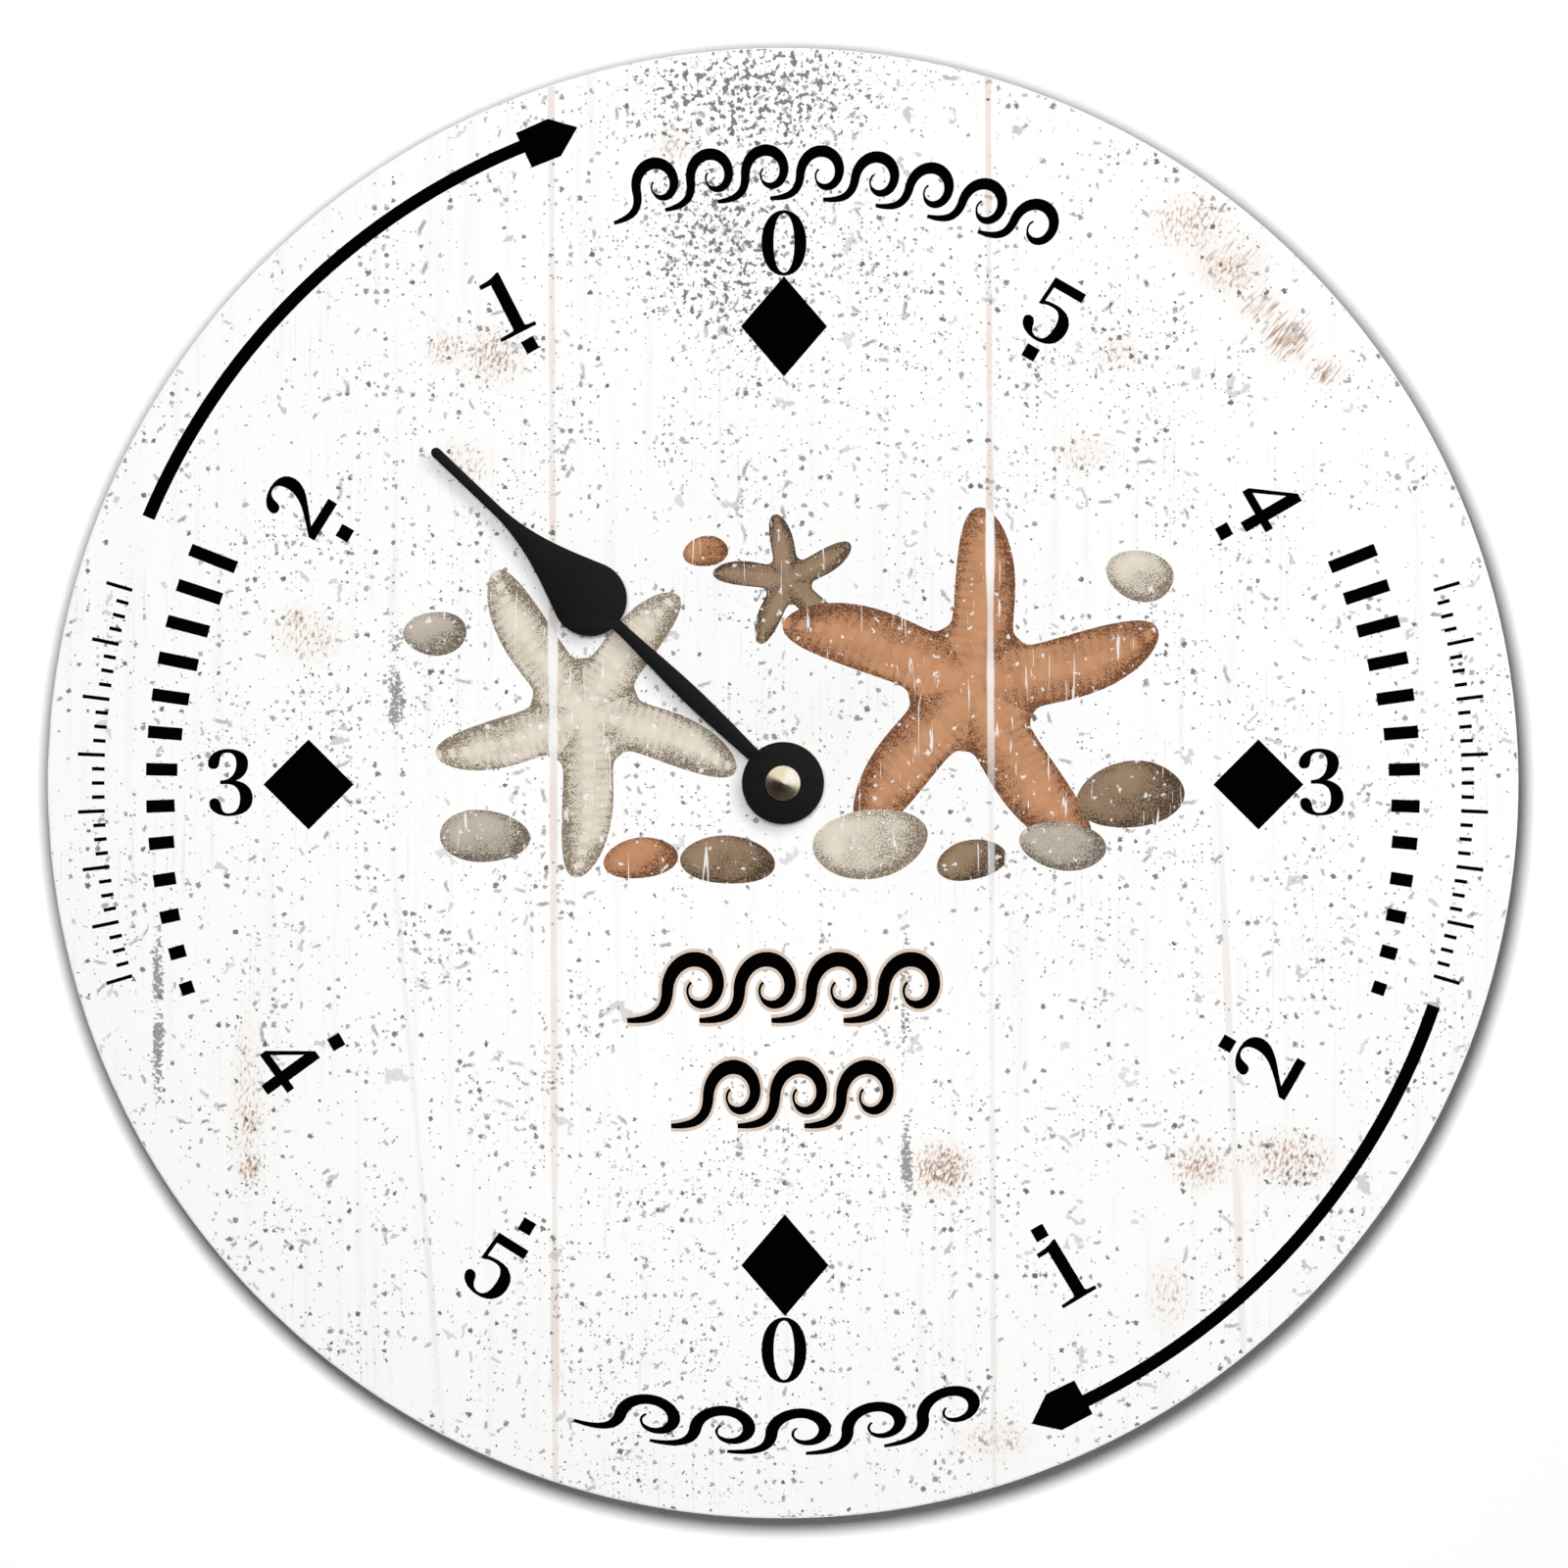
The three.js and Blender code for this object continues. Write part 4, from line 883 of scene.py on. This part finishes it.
picture = {
    "back": 24.742, "front": 24.765, "layer": 0.008, "dots": 2.7, "rubbed": 0.5, "seamsWider": 1.2,
    # light and deep ink of each shade
    "inks": {"rust": ((0.58, 0.29, 0.15), (0.10, 0.035, 0.014)),
             "cream": ((0.78, 0.71, 0.60), (0.16, 0.115, 0.07)),
             "greige": ((0.56, 0.50, 0.42), (0.10, 0.075, 0.05)),
             "sepia": ((0.34, 0.23, 0.145), (0.035, 0.020, 0.011))},
    "armLengths": (1.0, 0.93, 1.04, 0.96, 1.02), "armRoot": 0.34, "beads": 75.0, "folds": 130.0,
    # rings and spokes of the discs that the prints are made from
    "starSteps": (12, 240), "pebbleSteps": (8, 96),
    # sea stars: name, shade, centre, reach, turn, bend of the arms, arm slimness
    "stars": [("star_small", "sepia", (1.0, 42.0), 15.0, 25, 5, 3.4),
              ("star_left", "cream", (-41.0, 14.5), 33.5, -14, -7, 4.0),
              ("star_large", "rust", (39.5, 20.0), 40.0, 9, 8, 3.6)],
    # pebbles: shade, centre, half size, turn
    "pebbles": [("sepia", (72.0, -2.5), (11.0, 7.0), 12), ("greige", (58.0, -13.0), (8.6, 5.2), -8),
                ("cream", (18.0, -12.5), (12.4, 6.9), 5), ("sepia", (-11.5, -16.0), (9.4, 5.2), -5),
                ("greige", (-72.0, 31.0), (6.6, 4.5), 10), ("sepia", (39.0, -16.0), (7.0, 4.3), 10),
                ("cream", (74.0, 43.0), (7.4, 5.0), -16), ("rust", (-29.5, -15.6), (7.4, 4.4), 8),
                ("greige", (-62.0, -11.0), (9.0, 5.6), -6), ("rust", (-16.0, 48.0), (4.6, 3.2), 14)],
}


def makePrintFinish(name, light, deep, toneOf):
    # stippled ink on the washed planks, toned from the maps that the piece carries
    material, tree, shader = newMaterial(name, Specular_IOR_Level=0.3, Roughness=0.65)
    flat = dialPlane(tree)
    cloud = noise(flat, 0.16, 4.0).ramp(0.3, 0.7, -0.16, 0.16)
    tone = (toneOf(tree) + cloud).clamped()
    colour = blended(tone, light, [a * 0.62 + b * 0.38 for a, b in zip(light, deep)])
    dots = stipple(flat, picture["dots"], tone)
    colour = blended(dots * 0.85, colour, deep)
    rub = strongest((
        scratches(flat, picture["rubbed"]), plankSeams(flat, face["seams"], picture["seamsWider"])))
    blended(rub * 0.72, colour, face["white"]).to(shader.inputs["Base Color"])
    addRelief(shader, dots, 0.05, 0.00005)
    return material


def mapParts(tree, name):
    return addValue(tree, "UVMap", uv_map=name).parts()[:2]


def starTone(tree):
    # a pale beaded ridge down each arm, one shaded flank and a dark rim
    turn, out = mapParts(tree, "spread")
    side, along = mapParts(tree, "limb")
    off = abs(side)
    flank = side.ramp(-0.12, 0.12, 0.56, 0.2) + off.ramp(0.0, 0.1, -0.22, 0.06)
    rim = out.ramp(0.72, 1.0, 0.0, 0.6, smooth=True)
    folds = (along * picture["folds"]).calc("SINE") * off.ramp(0.02, 0.09)
    beads = (along * picture["beads"]).calc("SINE").ramp(-0.1, 0.6) * off.ramp(0.035, 0.02)
    return (flank + rim + folds * 0.1 - beads * 0.5).clamped()


def pebbleTone(tree):
    # lit from the upper left, darker to the rim
    turn, out = mapParts(tree, "spread")
    shade = ((turn - 0.88) * math.tau).calc("COSINE") * out
    rim = out.ramp(0.6, 1.0, 0.0, 0.45, smooth=True)
    return (shade * 0.42 + rim + 0.42).clamped()


def spreadDisc(shape, at, lift, rings, count):
    # a disc of rings reshaped by shape(turn, out), which also gives the place across and along a limb
    bm = bmesh.new()
    bmesh.ops.create_circle(bm, cap_ends=True, cap_tris=True, segments=count, radius=1)
    middle = min(bm.verts, key=lambda v: v.co.length)
    bmesh.ops.subdivide_edges(bm, edges=list(middle.link_edges), cuts=rings)
    spread = bm.loops.layers.uv.new("spread")
    limb = bm.loops.layers.uv.new("limb")
    for side in bm.faces:
        centre = side.calc_center_median()
        near = math.atan2(centre.y, centre.x)
        for loop in side.loops:
            v = loop.vert.co
            turn = near if v.length < 1e-5 else math.atan2(v.y, v.x)
            turn += math.tau * round((near - turn) / math.tau)
            loop[spread].uv = (turn / math.tau, v.length)
            loop[limb].uv = shape(turn, v.length)[1]
    for v in bm.verts:
        x, y = shape(math.atan2(v.co.y, v.co.x), v.co.length)[0]
        v.co = (at[0] + x, at[1] + y, picture["back"])
    return lifted(bm, lift, use_keep_orig=True)


def starShape(size, turn, bend, slim):
    lengths, base = picture["armLengths"], picture["armRoot"]
    arms = len(lengths)

    def shape(angle, out):
        nearest = round(angle / math.tau * arms)
        lobe = abs(math.cos(arms / 2 * angle)) ** slim
        away = out * (base + (lengths[nearest % arms] - base) * lobe)
        fromArm = angle - nearest * math.tau / arms
        swung = angle + math.radians(turn + bend * away * away)
        place = (size * away * math.cos(swung), size * away * math.sin(swung))
        return place, (away * math.sin(fromArm), away * math.cos(fromArm))

    return shape


def pebbleShape(centre, half, turn):

    def shape(angle, out):
        uneven = 1 + 0.05 * math.sin(2 * angle + centre[0]) + 0.03 * math.sin(3 * angle + centre[1])
        x, y = half[0] * out * uneven * math.cos(angle), half[1] * out * uneven * math.sin(angle)
        return placed([(x, y)], turn=-turn)[0], (x, y)

    return shape


def makePicture():
    finishes = {}
    for kind, toneOf in (("star", starTone), ("pebble", pebbleTone)):
        for shade, inks in picture["inks"].items():
            finishes[kind, shade] = makePrintFinish("printed %s %s" % (kind, shade), *inks, toneOf)

    # each print lies a hair above the one before, so that crossing prints stay apart
    lift = picture["front"] - picture["back"]
    for name, shade, centre, size, turn, bend, slim in picture["stars"]:
        bm = spreadDisc(starShape(size, turn, bend, slim), centre, lift, *picture["starSteps"])
        finishPiece(bm, name, finishes["star", shade], "printed_face")
        lift += picture["layer"]
    for number, (shade, centre, half, turn) in enumerate(picture["pebbles"], 1):
        bm = spreadDisc(pebbleShape(centre, half, turn), centre, lift, *picture["pebbleSteps"])
        finishPiece(bm, "pebble_%d" % number, finishes["pebble", shade], "printed_face")
        lift += picture["layer"]


makePicture()
print("picture made")


# Hand: a flat stamping in satin black

hand = {
    "back": 29.55, "front": 30.15, "rounding": 0.12, "angle": 46.4, "length": 100.1, "bore": 1.65,
    "hub": 8.5, "bulb": 7.7, "bulbAt": 55.2, "flareTo": 82.0, "flareAngle": 69.0, "tip": 1.05,
    # half widths of the stem: at the hub, at its fullest and at the bulb
    "root": 1.425, "belly": 1.925, "bellyAt": 25.0, "neck": 1.2,
    # how far the curves reach along their ends: stem to belly, belly to bulb, bulb to tip
    "rootPull": 6.0, "rootLean": 0.2, "neckPull": (0.4, 0.3), "flarePull": (0.24, 0.4),
    "paint": (0.0045, 0.0045, 0.0046),
}


def stemSide(rootTurn, neckTurn):
    # the right side of the stem, from the hub to the bulb
    rootX, belly, neck = hand["root"], hand["belly"], hand["neck"]
    rootY, bellyY = hand["hub"] * math.cos(rootTurn), hand["bellyAt"]
    neckY = hand["bulbAt"] - hand["bulb"] * math.cos(neckTurn)
    pull, (up, down) = hand["rootPull"], ((neckY - bellyY) * share for share in hand["neckPull"])
    return pathPoints(
        (rootX, rootY),
        (rootX + hand["rootLean"], rootY + pull, belly, bellyY - pull, belly, bellyY),
        (belly, bellyY + up, neck, neckY - down, neck, neckY),
        resolution=20,
    )


def flareSide(flareTurn):
    # the right side from the bulb's shoulder to the straight tip
    shoulderX = hand["bulb"] * math.cos(flareTurn)
    shoulderY = hand["bulbAt"] + hand["bulb"] * math.sin(flareTurn)
    up, down = ((hand["flareTo"] - shoulderY) * share for share in hand["flarePull"])
    lean = up / math.tan(math.radians(hand["flareAngle"]))
    tip, end = hand["tip"], hand["flareTo"]
    return pathPoints(
        (shoulderX, shoulderY), (shoulderX - lean, shoulderY + up, tip, end - down, tip, end), resolution=24)


def handOutline():
    hub, bulb, tip, quarter = hand["hub"], hand["bulb"], hand["tip"], math.pi / 2
    rootTurn, neckTurn = math.asin(hand["root"] / hub), math.asin(hand["neck"] / bulb)
    flareTurn = math.radians(90 - hand["flareAngle"])
    right = stemSide(rootTurn, neckTurn)
    right += arcPoints(bulb, neckTurn - quarter, flareTurn, 40, (0, hand["bulbAt"]))[1:]
    right += flareSide(flareTurn)[1:]
    right += arcPoints(tip, 0, quarter, 9, (0, hand["length"] - tip))[:-1]
    left = [(-x, y) for x, y in reversed(right)]
    rim = arcPoints(hub, quarter + rootTurn, quarter + math.tau - rootTurn, 96)[1:-1]
    return right + [(0, hand["length"])] + left + rim


def makeHand():
    outline = placed(handOutline(), turn=-hand["angle"])
    bm = flatShape([outline, circlePoints(hand["bore"], 48)], hand["back"], hand["front"], hand["rounding"])
    paint = makeFinish("satin black hand paint", hand["paint"], 0.5, vary=0.25, fine=3.0, broad=0.1,
                       bump=0.12, Specular_IOR_Level=0.18)
    finishPiece(bm, "hand_blade", paint, "hand_paint", "hand_body", ["tide_hand"])


makeHand()
print("hand made")


# Fixings on the hand's axis

fixings = {
    "cap": (0.86, 0.76, 0.53), "brass": (0.72, 0.52, 0.22), "rubber": (0.014, 0.014, 0.014),
    # cap: straight rim, rounded shoulder, low cone with a rounded point, hollow for the thread
    "capRadius": 3.65, "capBack": 30.2, "capTop": 33.2, "capRim": 0.8, "capPower": 1.36,
    "shoulderIn": 0.4, "shoulderUp": 0.5, "hollow": 1.25, "hollowTop": 31.8, "coneSteps": 12,
    "capEdge": (0.1, 3, 50),  # width, steps, least angle
    # rings: bore, radius, back, front, steps round
    "collet": (1.65, 3.8, 28.3, 29.5, 64), "washer": (4.1, 7.5, 24.8, 25.4, 96),
    "rubberWasher": (4.1, 10.0, 17.4, 18.4, 96), "brassEdge": 0.12, "rubberEdge": 0.2,
    # bush: bore, flange, thread
    "bushBore": 2.08, "bushBack": 14.65, "bushFront": 28.0, "flange": 5.2, "flangeFront": 15.25,
    "crest": 3.95, "threadRoot": 3.6, "threadFrom": 17.6, "threadPitch": 0.75, "threadTurns": 14,
    "shankFront": 17.4, "leadIn": (0.2, 0.25), "bushSteps": 64,
}


def capShape():
    radius, back, top = fixings["capRadius"], fixings["capBack"], fixings["capTop"]
    inset, rise = fixings["shoulderIn"], fixings["shoulderUp"]
    base, shoulder = back + fixings["capRim"], radius - inset
    crown = pathPoints((radius, base), (radius, base + rise * 0.5, radius - inset * 0.375,
                                        base + rise * 0.76, shoulder, base + rise), resolution=6)
    for i in reversed(range(fixings["coneSteps"])):
        share = i / fixings["coneSteps"]
        crown.append((shoulder * share, top - (top - base - rise) * share ** fixings["capPower"]))
    hollow, hollowTop = fixings["hollow"], fixings["hollowTop"]
    bm = turnedShape([(0, hollowTop), (hollow, hollowTop), (hollow, back), (radius, back), *crown])
    return roundEdges(bm, *fixings["capEdge"])


def bushShape():
    bore, flange, crest, low = (fixings[name] for name in ("bushBore", "flange", "crest", "threadRoot"))
    back, front, flangeFront = fixings["bushBack"], fixings["bushFront"], fixings["flangeFront"]
    thread = []
    for i in range(fixings["threadTurns"]):
        height = fixings["threadFrom"] + i * fixings["threadPitch"]
        thread += [(low, height), (crest, height + fixings["threadPitch"] / 2)]
    inset, drop = fixings["leadIn"]
    return turnedShape([
        (bore, back), (flange, back), (flange, flangeFront), (crest, flangeFront),
        (crest, fixings["shankFront"]), *thread, (low, front - drop), (low - inset, front), (bore, front),
    ], fixings["bushSteps"])


def makeFixings():
    polished = makeTurnedFinish("polished cap brass", fixings["cap"], 0.32, 0.12, bump=0.05)
    brass = makeTurnedFinish("turned brass", fixings["brass"], 0.3, 0.1)
    rubber = makeFinish("black rubber", fixings["rubber"], 0.85, vary=0.3, fine=5.0, bump=0.3)
    edge = fixings["brassEdge"]
    finishPiece(capShape(), "cap_dome", polished, "cap_brass", "hand_body", ["cap_nut"])
    bm = roundEdges(ringShape(*fixings["collet"]), edge)
    finishPiece(bm, "collet", brass, "collet_brass", "hand_body", ["hand_collet"])
    bm = roundEdges(ringShape(*fixings["washer"]), edge)
    finishPiece(bm, "washer_front", brass, "nut_brass", nodes=["brass_washer"])
    bm = roundEdges(ringShape(*fixings["rubberWasher"]), fixings["rubberEdge"])
    finishPiece(bm, "washer_rubber", rubber, "washer_rubber", nodes=["rubber_washer"])
    finishPiece(softenedCopy("hex_nut", edge), "nut", brass, "nut_brass", nodes=["hex_nut"])
    finishPiece(bushShape(), "bush", brass, "nut_brass", nodes=["threaded_bush"])


makeFixings()
print("fixings made")


# Hanger plate and the movement behind the board

movement = {
    "hangerHalf": 11.0, "hangerBack": 16.55, "hangerFront": 17.35, "hangerBore": 4.2, "hangerEdge": 0.06,
    "eyeAt": 36.0, "eye": 4.5, "slotHalf": 1.6, "slotTop": 42.5,
    # broken edges: width, steps
    "plasticEdge": (0.22, 2), "knobEdge": (0.1, 2), "springEdge": (0.05, 1),
    "case": (0.017, 0.017, 0.018), "cover": (0.02, 0.02, 0.021), "steel": (0.62, 0.62, 0.61),
}


def hangerOutlines():
    half, eye, slot = movement["hangerHalf"], movement["eye"], movement["slotHalf"]
    eyeAt, slotTop = (0, movement["eyeAt"]), (0, movement["slotTop"])
    plate = arcPoints(half, 0, math.pi, 40, eyeAt) + arcPoints(half, math.pi, math.tau, 40)
    # round the eye, from the slot's left side to its right
    start = math.acos(slot / eye)
    keyhole = arcPoints(eye, math.pi - start, math.tau + start, 48, eyeAt)
    keyhole += arcPoints(slot, 0, math.pi, 16, slotTop)
    return [plate, keyhole, circlePoints(movement["hangerBore"], 64)]


def makeMovement():
    steel = makeFinish("plated steel", movement["steel"], 0.36, vary=0.1, fine=1.2, broad=0.08, bump=0.06,
                       Metallic=1.0)
    casePlastic = makeFinish("moulded case plastic", movement["case"], 0.5, vary=0.25, fine=9.0, bump=0.35,
                             Specular_IOR_Level=0.4)
    coverPlastic = makeFinish("moulded cover plastic", movement["cover"], 0.58, vary=0.25, fine=6.0, bump=0.6,
                              Specular_IOR_Level=0.4)

    bm = flatShape(hangerOutlines(), movement["hangerBack"], movement["hangerFront"], movement["hangerEdge"])
    finishPiece(bm, "hanger_plate", steel, "hanger_steel", nodes=["hanger"])

    for node, edge, name, material, slot, body in (
        ("front_case", "plasticEdge", "case_shell", casePlastic, "case_plastic", root),
        ("back_cover", "plasticEdge", "case_cover", coverPlastic, "cover_plastic", root),
        ("set_knob", "knobEdge", "knob", casePlastic, "knob_plastic", "knob_body"),
        ("positive_contact", "springEdge", "positive_spring", steel, "contact_steel", root),
        ("negative_contact", "springEdge", "negative_spring", steel, "contact_steel", root),
    ):
        finishPiece(softenedCopy(node, *movement[edge]), name, material, slot, body, [node])


makeMovement()
print("movement made")


# Cell: sleeve with rolled ends, washer at the plus end, plain can at the other

cell = {
    "half": 25.25, "at": (0, -19.3, 7.9), "steps": 72, "edge": (0.12, 2, 35),
    # sections from each end inwards: radius, depth
    "can": [(0, 0), (5.4, 0), (5.6, 0.25), (6.5, 0.3), (7.1, 0.9)],
    "plus": [(0, 0), (2.4, 0), (2.65, 0.15), (2.75, 1.3), (5.0, 1.45), (5.2, 1.75), (6.5, 1.6), (7.1, 2.3)],
    "sleeve": (0.36, 0.38, 0.40), "vary": 0.1, "band": (0.055, 0.16, 0.13), "bandFrom": 13.0, "bandTo": 22.6,
    "bandSoft": 0.1,
}


def makeCellFinish():
    material, tree, shader = newMaterial("plain cell sleeve", Metallic=0.85)
    place = millimetres(tree)
    along, low, high, soft = place.parts()[0], cell["bandFrom"], cell["bandTo"], cell["bandSoft"]
    band = along.ramp(low, low + soft) * along.ramp(high, high - soft)
    tone = surfaceTouch(place, 3.0, 0.12)[0]
    metal = blended(tone, [c * (1 - cell["vary"]) for c in cell["sleeve"]], cell["sleeve"])
    blended(band, metal, cell["band"]).to(shader.inputs["Base Color"])
    tone.ramp(0, 1, 0.26, 0.38).to(shader.inputs["Roughness"])
    return material


def makeCell():
    half = cell["half"]
    profile = [(radius, depth - half) for radius, depth in cell["can"]]
    profile += [(radius, half - depth) for radius, depth in reversed(cell["plus"])]
    bm = roundEdges(turnedShape(profile, cell["steps"]), *cell["edge"])
    bmesh.ops.rotate(bm, verts=bm.verts, cent=(0, 0, 0), matrix=Matrix.Rotation(math.radians(90), 3, "Y"))
    bmesh.ops.translate(bm, verts=bm.verts, vec=cell["at"])
    finishPiece(bm, "cell", makeCellFinish(), "cell_jacket", nodes=["battery"])


makeCell()
print("cell made")


# Finishes of the pieces inside the movement, which keep their own solids

inside = {
    # colour, roughness, metal
    "gear_plastic": ((0.80, 0.79, 0.73), 0.45, 0.0), "arbor_brass": ((0.72, 0.52, 0.22), 0.3, 1.0),
    "pivot_steel": ((0.60, 0.60, 0.61), 0.28, 1.0), "clutch_brass": ((0.60, 0.44, 0.18), 0.35, 1.0),
    "magnet_grey": ((0.09, 0.09, 0.10), 0.45, 0.8), "motor_iron": ((0.30, 0.31, 0.32), 0.4, 1.0),
    "coil_copper": ((0.55, 0.20, 0.07), 0.35, 1.0), "board_green": ((0.02, 0.12, 0.05), 0.4, 0.0),
    "chip_black": ((0.008, 0.008, 0.009), 0.3, 0.0),
}


def finishInside():
    made = {}
    for slot, (colour, roughness, metallic) in inside.items():
        made[slot] = makeFinish(slot.replace("_", " "), colour, roughness, vary=0.1, fine=5.0, bump=0.1,
                                Metallic=metallic)
    for part in frame["record"]["subparts"]:
        node = frame["nodes"][part["node"]]
        if part["material_slot"] in made and not node.hide_render:
            node.data.materials.clear()
            node.data.materials.append(made[part["material_slot"]])


finishInside()
print("inside finished")


# White wall behind the clock, pale floor far below, light and camera

studio = {
    "wallAt": 0.0008, "floorAt": -0.75, "half": 4.0, "wall": (1.0, 1.0, 1.0), "floor": (0.93, 0.93, 0.925),
    "floorGlow": 0.9, "ambient": 0.075,
    # where the wall goes over to plain white, in millimetres from the axis
    "wallLit": (190, 420),
    # the wall's lamp: clock angle and distance off the axis, distance ahead, radius, share of white
    "wallLamp": (337.5, 0.071, 1.23, 0.093, 1.0),
    # the clock's lamps: clock angle, tilt off the axis, width in the sky, share of white
    "frontLamp": (337.5, 4.0, 12.0, 0.58), "sideLamp": (45.0, 23.5, 30.0, 0.36),
    # soft lamps behind the dial's plane, for its rim and the movement
    "backLamps": {"back_left": (-1.3, 1.1, 0.9), "back_right": (1.4, 0.9, 0.3)},
    "backPower": 14.0, "backSize": 1.2,
    # cards seen only in polished metal: clock angle, tilt off the axis, distance, half size, colour
    "cards": [(157, 60, 0.42, 0.35, (0.030, 0.028, 0.017)), (231, 60, 0.40, 0.62, (0.012, 0.006, 0.003)),
              (58, 56, 0.50, 0.31, (1.12, 1.22, 1.58))],
}
# the photo in pixels, the camera's distance from the dial and its sensor
photo = {
    "pixels": 1600, "dialRadius": 750.5, "dialCentre": (799.0, 799.0), "distance": 2.4, "sensor": 36.0,
    "clipEnd": 50,
}


def stagePlane(name, place, material):
    # a wide square with each corner where place(u, v) puts it
    bm = bmesh.new()
    half = studio["half"]
    bm.faces.new([bm.verts.new(place(u, v)) for u, v in barPoints(half, -half, half)])
    plane = newObject(bm, name, material)
    plane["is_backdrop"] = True
    return plane


def matteMaterial(name, colour, roughness=1.0, specular=0.0):
    # a matte surface and the same colour as plain light
    material, tree, shader = newMaterial(name, Roughness=roughness, Specular_IOR_Level=specular)
    shader.inputs["Base Color"].default_value = (*colour, 1)
    glow = addValue(tree, "Emission", {"Color": (*colour, 1), "Strength": 1.0})
    return material, tree, Value(shader.outputs[0]), glow


def mixedShader(factor, first, second):
    return addValue(factor.tree, "MixShader", {0: factor, 1: first, 2: second})


def showFrontOnly(shown):
    # the surface is clear when seen from its back
    clear = addValue(shown.tree, "BsdfTransparent")
    behind = addValue(shown.tree, "NewGeometry", output="Backfacing")
    mixedShader(behind, shown, clear).to(shown.tree.nodes["Material Output"].inputs["Surface"])


def shownRays(tree):
    # 1 for what the camera sees, straight or in metal and glass
    kinds = ("Is Camera Ray", "Is Glossy Ray", "Is Transmission Ray")
    return strongest(addValues(tree, "LightPath", None, kinds))


def makeWall():
    # lit like paper round the clock, plain white far from it
    material, tree, matte, glow = matteMaterial("wall white", studio["wall"])
    showFrontOnly(mixedShader(fromAxis(tree).ramp(*studio["wallLit"]), matte, glow))
    wall = stagePlane("wall", lambda u, v: (u, studio["wallAt"], v), material)
    wall.visible_shadow = wall.visible_diffuse = wall.visible_glossy = False
    return wall


def makeFloor():
    material, tree, matte, glow = matteMaterial("floor pale", studio["floor"], 0.9, 0.1)
    showFrontOnly(mixedShader(shownRays(tree) * studio["floorGlow"], matte, glow))
    floor = stagePlane("floor", lambda u, v: (u, v, studio["floorAt"]), material)
    floor.visible_diffuse = False


def offAxis(angle, away, ahead):
    x, z = polar(away, angle)
    return Vector((x, -ahead, z))


def fromTilt(angle, tilt):
    # the direction that leans by tilt from the hand's axis towards a clock angle
    return offAxis(angle, math.sin(math.radians(tilt)), math.cos(math.radians(tilt)))


def makeCards():
    # shade below and a bright card at the upper right give the polished cap its wedges
    for number, (angle, tilt, distance, half, colour) in enumerate(studio["cards"], 1):
        material, tree, matte, glow = matteMaterial("card %d" % number, colour)
        glow.to(tree.nodes["Material Output"].inputs["Surface"])
        at = fromTilt(angle, tilt) * distance
        bm = bmesh.new()
        bmesh.ops.create_circle(bm, cap_ends=True, segments=32, radius=half)
        bm.transform(Matrix.Translation(at) @ at.to_track_quat("Z", "Y").to_matrix().to_4x4())
        card = newObject(bm, "card_%d" % number, material)
        card.visible_camera = card.visible_diffuse = card.visible_shadow = card.visible_transmission = False
        card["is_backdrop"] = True


def makeWorld():
    world = bpy.data.worlds.new("white room")
    scene.world = world
    world.use_nodes = True
    back = world.node_tree.nodes["Background"]
    back.inputs["Color"].default_value = (1, 1, 1, 1)
    shownRays(world.node_tree).ramp(0, 1, studio["ambient"], 1.0).to(back.inputs["Strength"])


def addLamp(name, kind, energy, at, **settings):
    # a lamp that looks at the middle of the clock
    data = bpy.data.lights.new(name, kind)
    data.energy = energy
    for key, value in settings.items():
        setattr(data, key, value)
    lamp = bpy.data.objects.new(name, data)
    lamp.location = at
    lamp.rotation_mode = "QUATERNION"
    lamp.rotation_quaternion = (-Vector(at)).to_track_quat("-Z", "Y")
    lamp.visible_camera = lamp.visible_glossy = False
    scene.collection.objects.link(lamp)
    return lamp


def lightOnly(lamp, piece, state):
    # INCLUDE lights that piece alone, EXCLUDE all but that piece
    lit = bpy.data.collections.new(lamp.name + " lights")
    lit.objects.link(piece)
    lit.collection_objects[0].light_linking.link_state = state
    lamp.light_linking.receiver_collection = lit


def makeLights(wall):
    # the shadows on the wall and under the hand fall two ways, so the wall has a lamp of its own
    angle, away, ahead, radius, share = studio["wallLamp"]
    at = offAxis(angle, away, ahead)
    energy = share * math.pi ** 2 * at.length_squared
    lamp = addLamp("wallLamp", "AREA", energy, at, shape="DISK", size=2 * radius)
    lightOnly(lamp, wall, "INCLUDE")
    for name in ("frontLamp", "sideLamp"):
        angle, tilt, width, share = studio[name]
        energy = share * math.pi / math.cos(math.radians(tilt))
        lamp = addLamp(name, "SUN", energy, fromTilt(angle, tilt), angle=math.radians(width))
        lightOnly(lamp, wall, "EXCLUDE")
    for name, at in studio["backLamps"].items():
        addLamp(name, "AREA", studio["backPower"], at, shape="DISK", size=studio["backSize"])


def makeCamera():
    data = bpy.data.cameras.new("camera")
    data.sensor_width = photo["sensor"]
    pixel = board["radius"] * metre / photo["dialRadius"]
    right, down = (photo["pixels"] / 2 - centre for centre in photo["dialCentre"])
    data.lens = photo["sensor"] * photo["distance"] / (photo["pixels"] * pixel)
    data.clip_end = photo["clipEnd"]
    camera = bpy.data.objects.new("camera", data)
    camera.location = (right * pixel, -photo["distance"] - board["front"] * metre, -down * pixel)
    camera.rotation_euler = (math.radians(90), 0, 0)
    scene.collection.objects.link(camera)
    scene.camera = camera


wall = makeWall()
makeFloor()
makeCards()
makeWorld()
makeLights(wall)
makeCamera()
print("studio set")

sizes = {"cad": [list(c) for c in cadBounds], "visual": [list(c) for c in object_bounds()]}
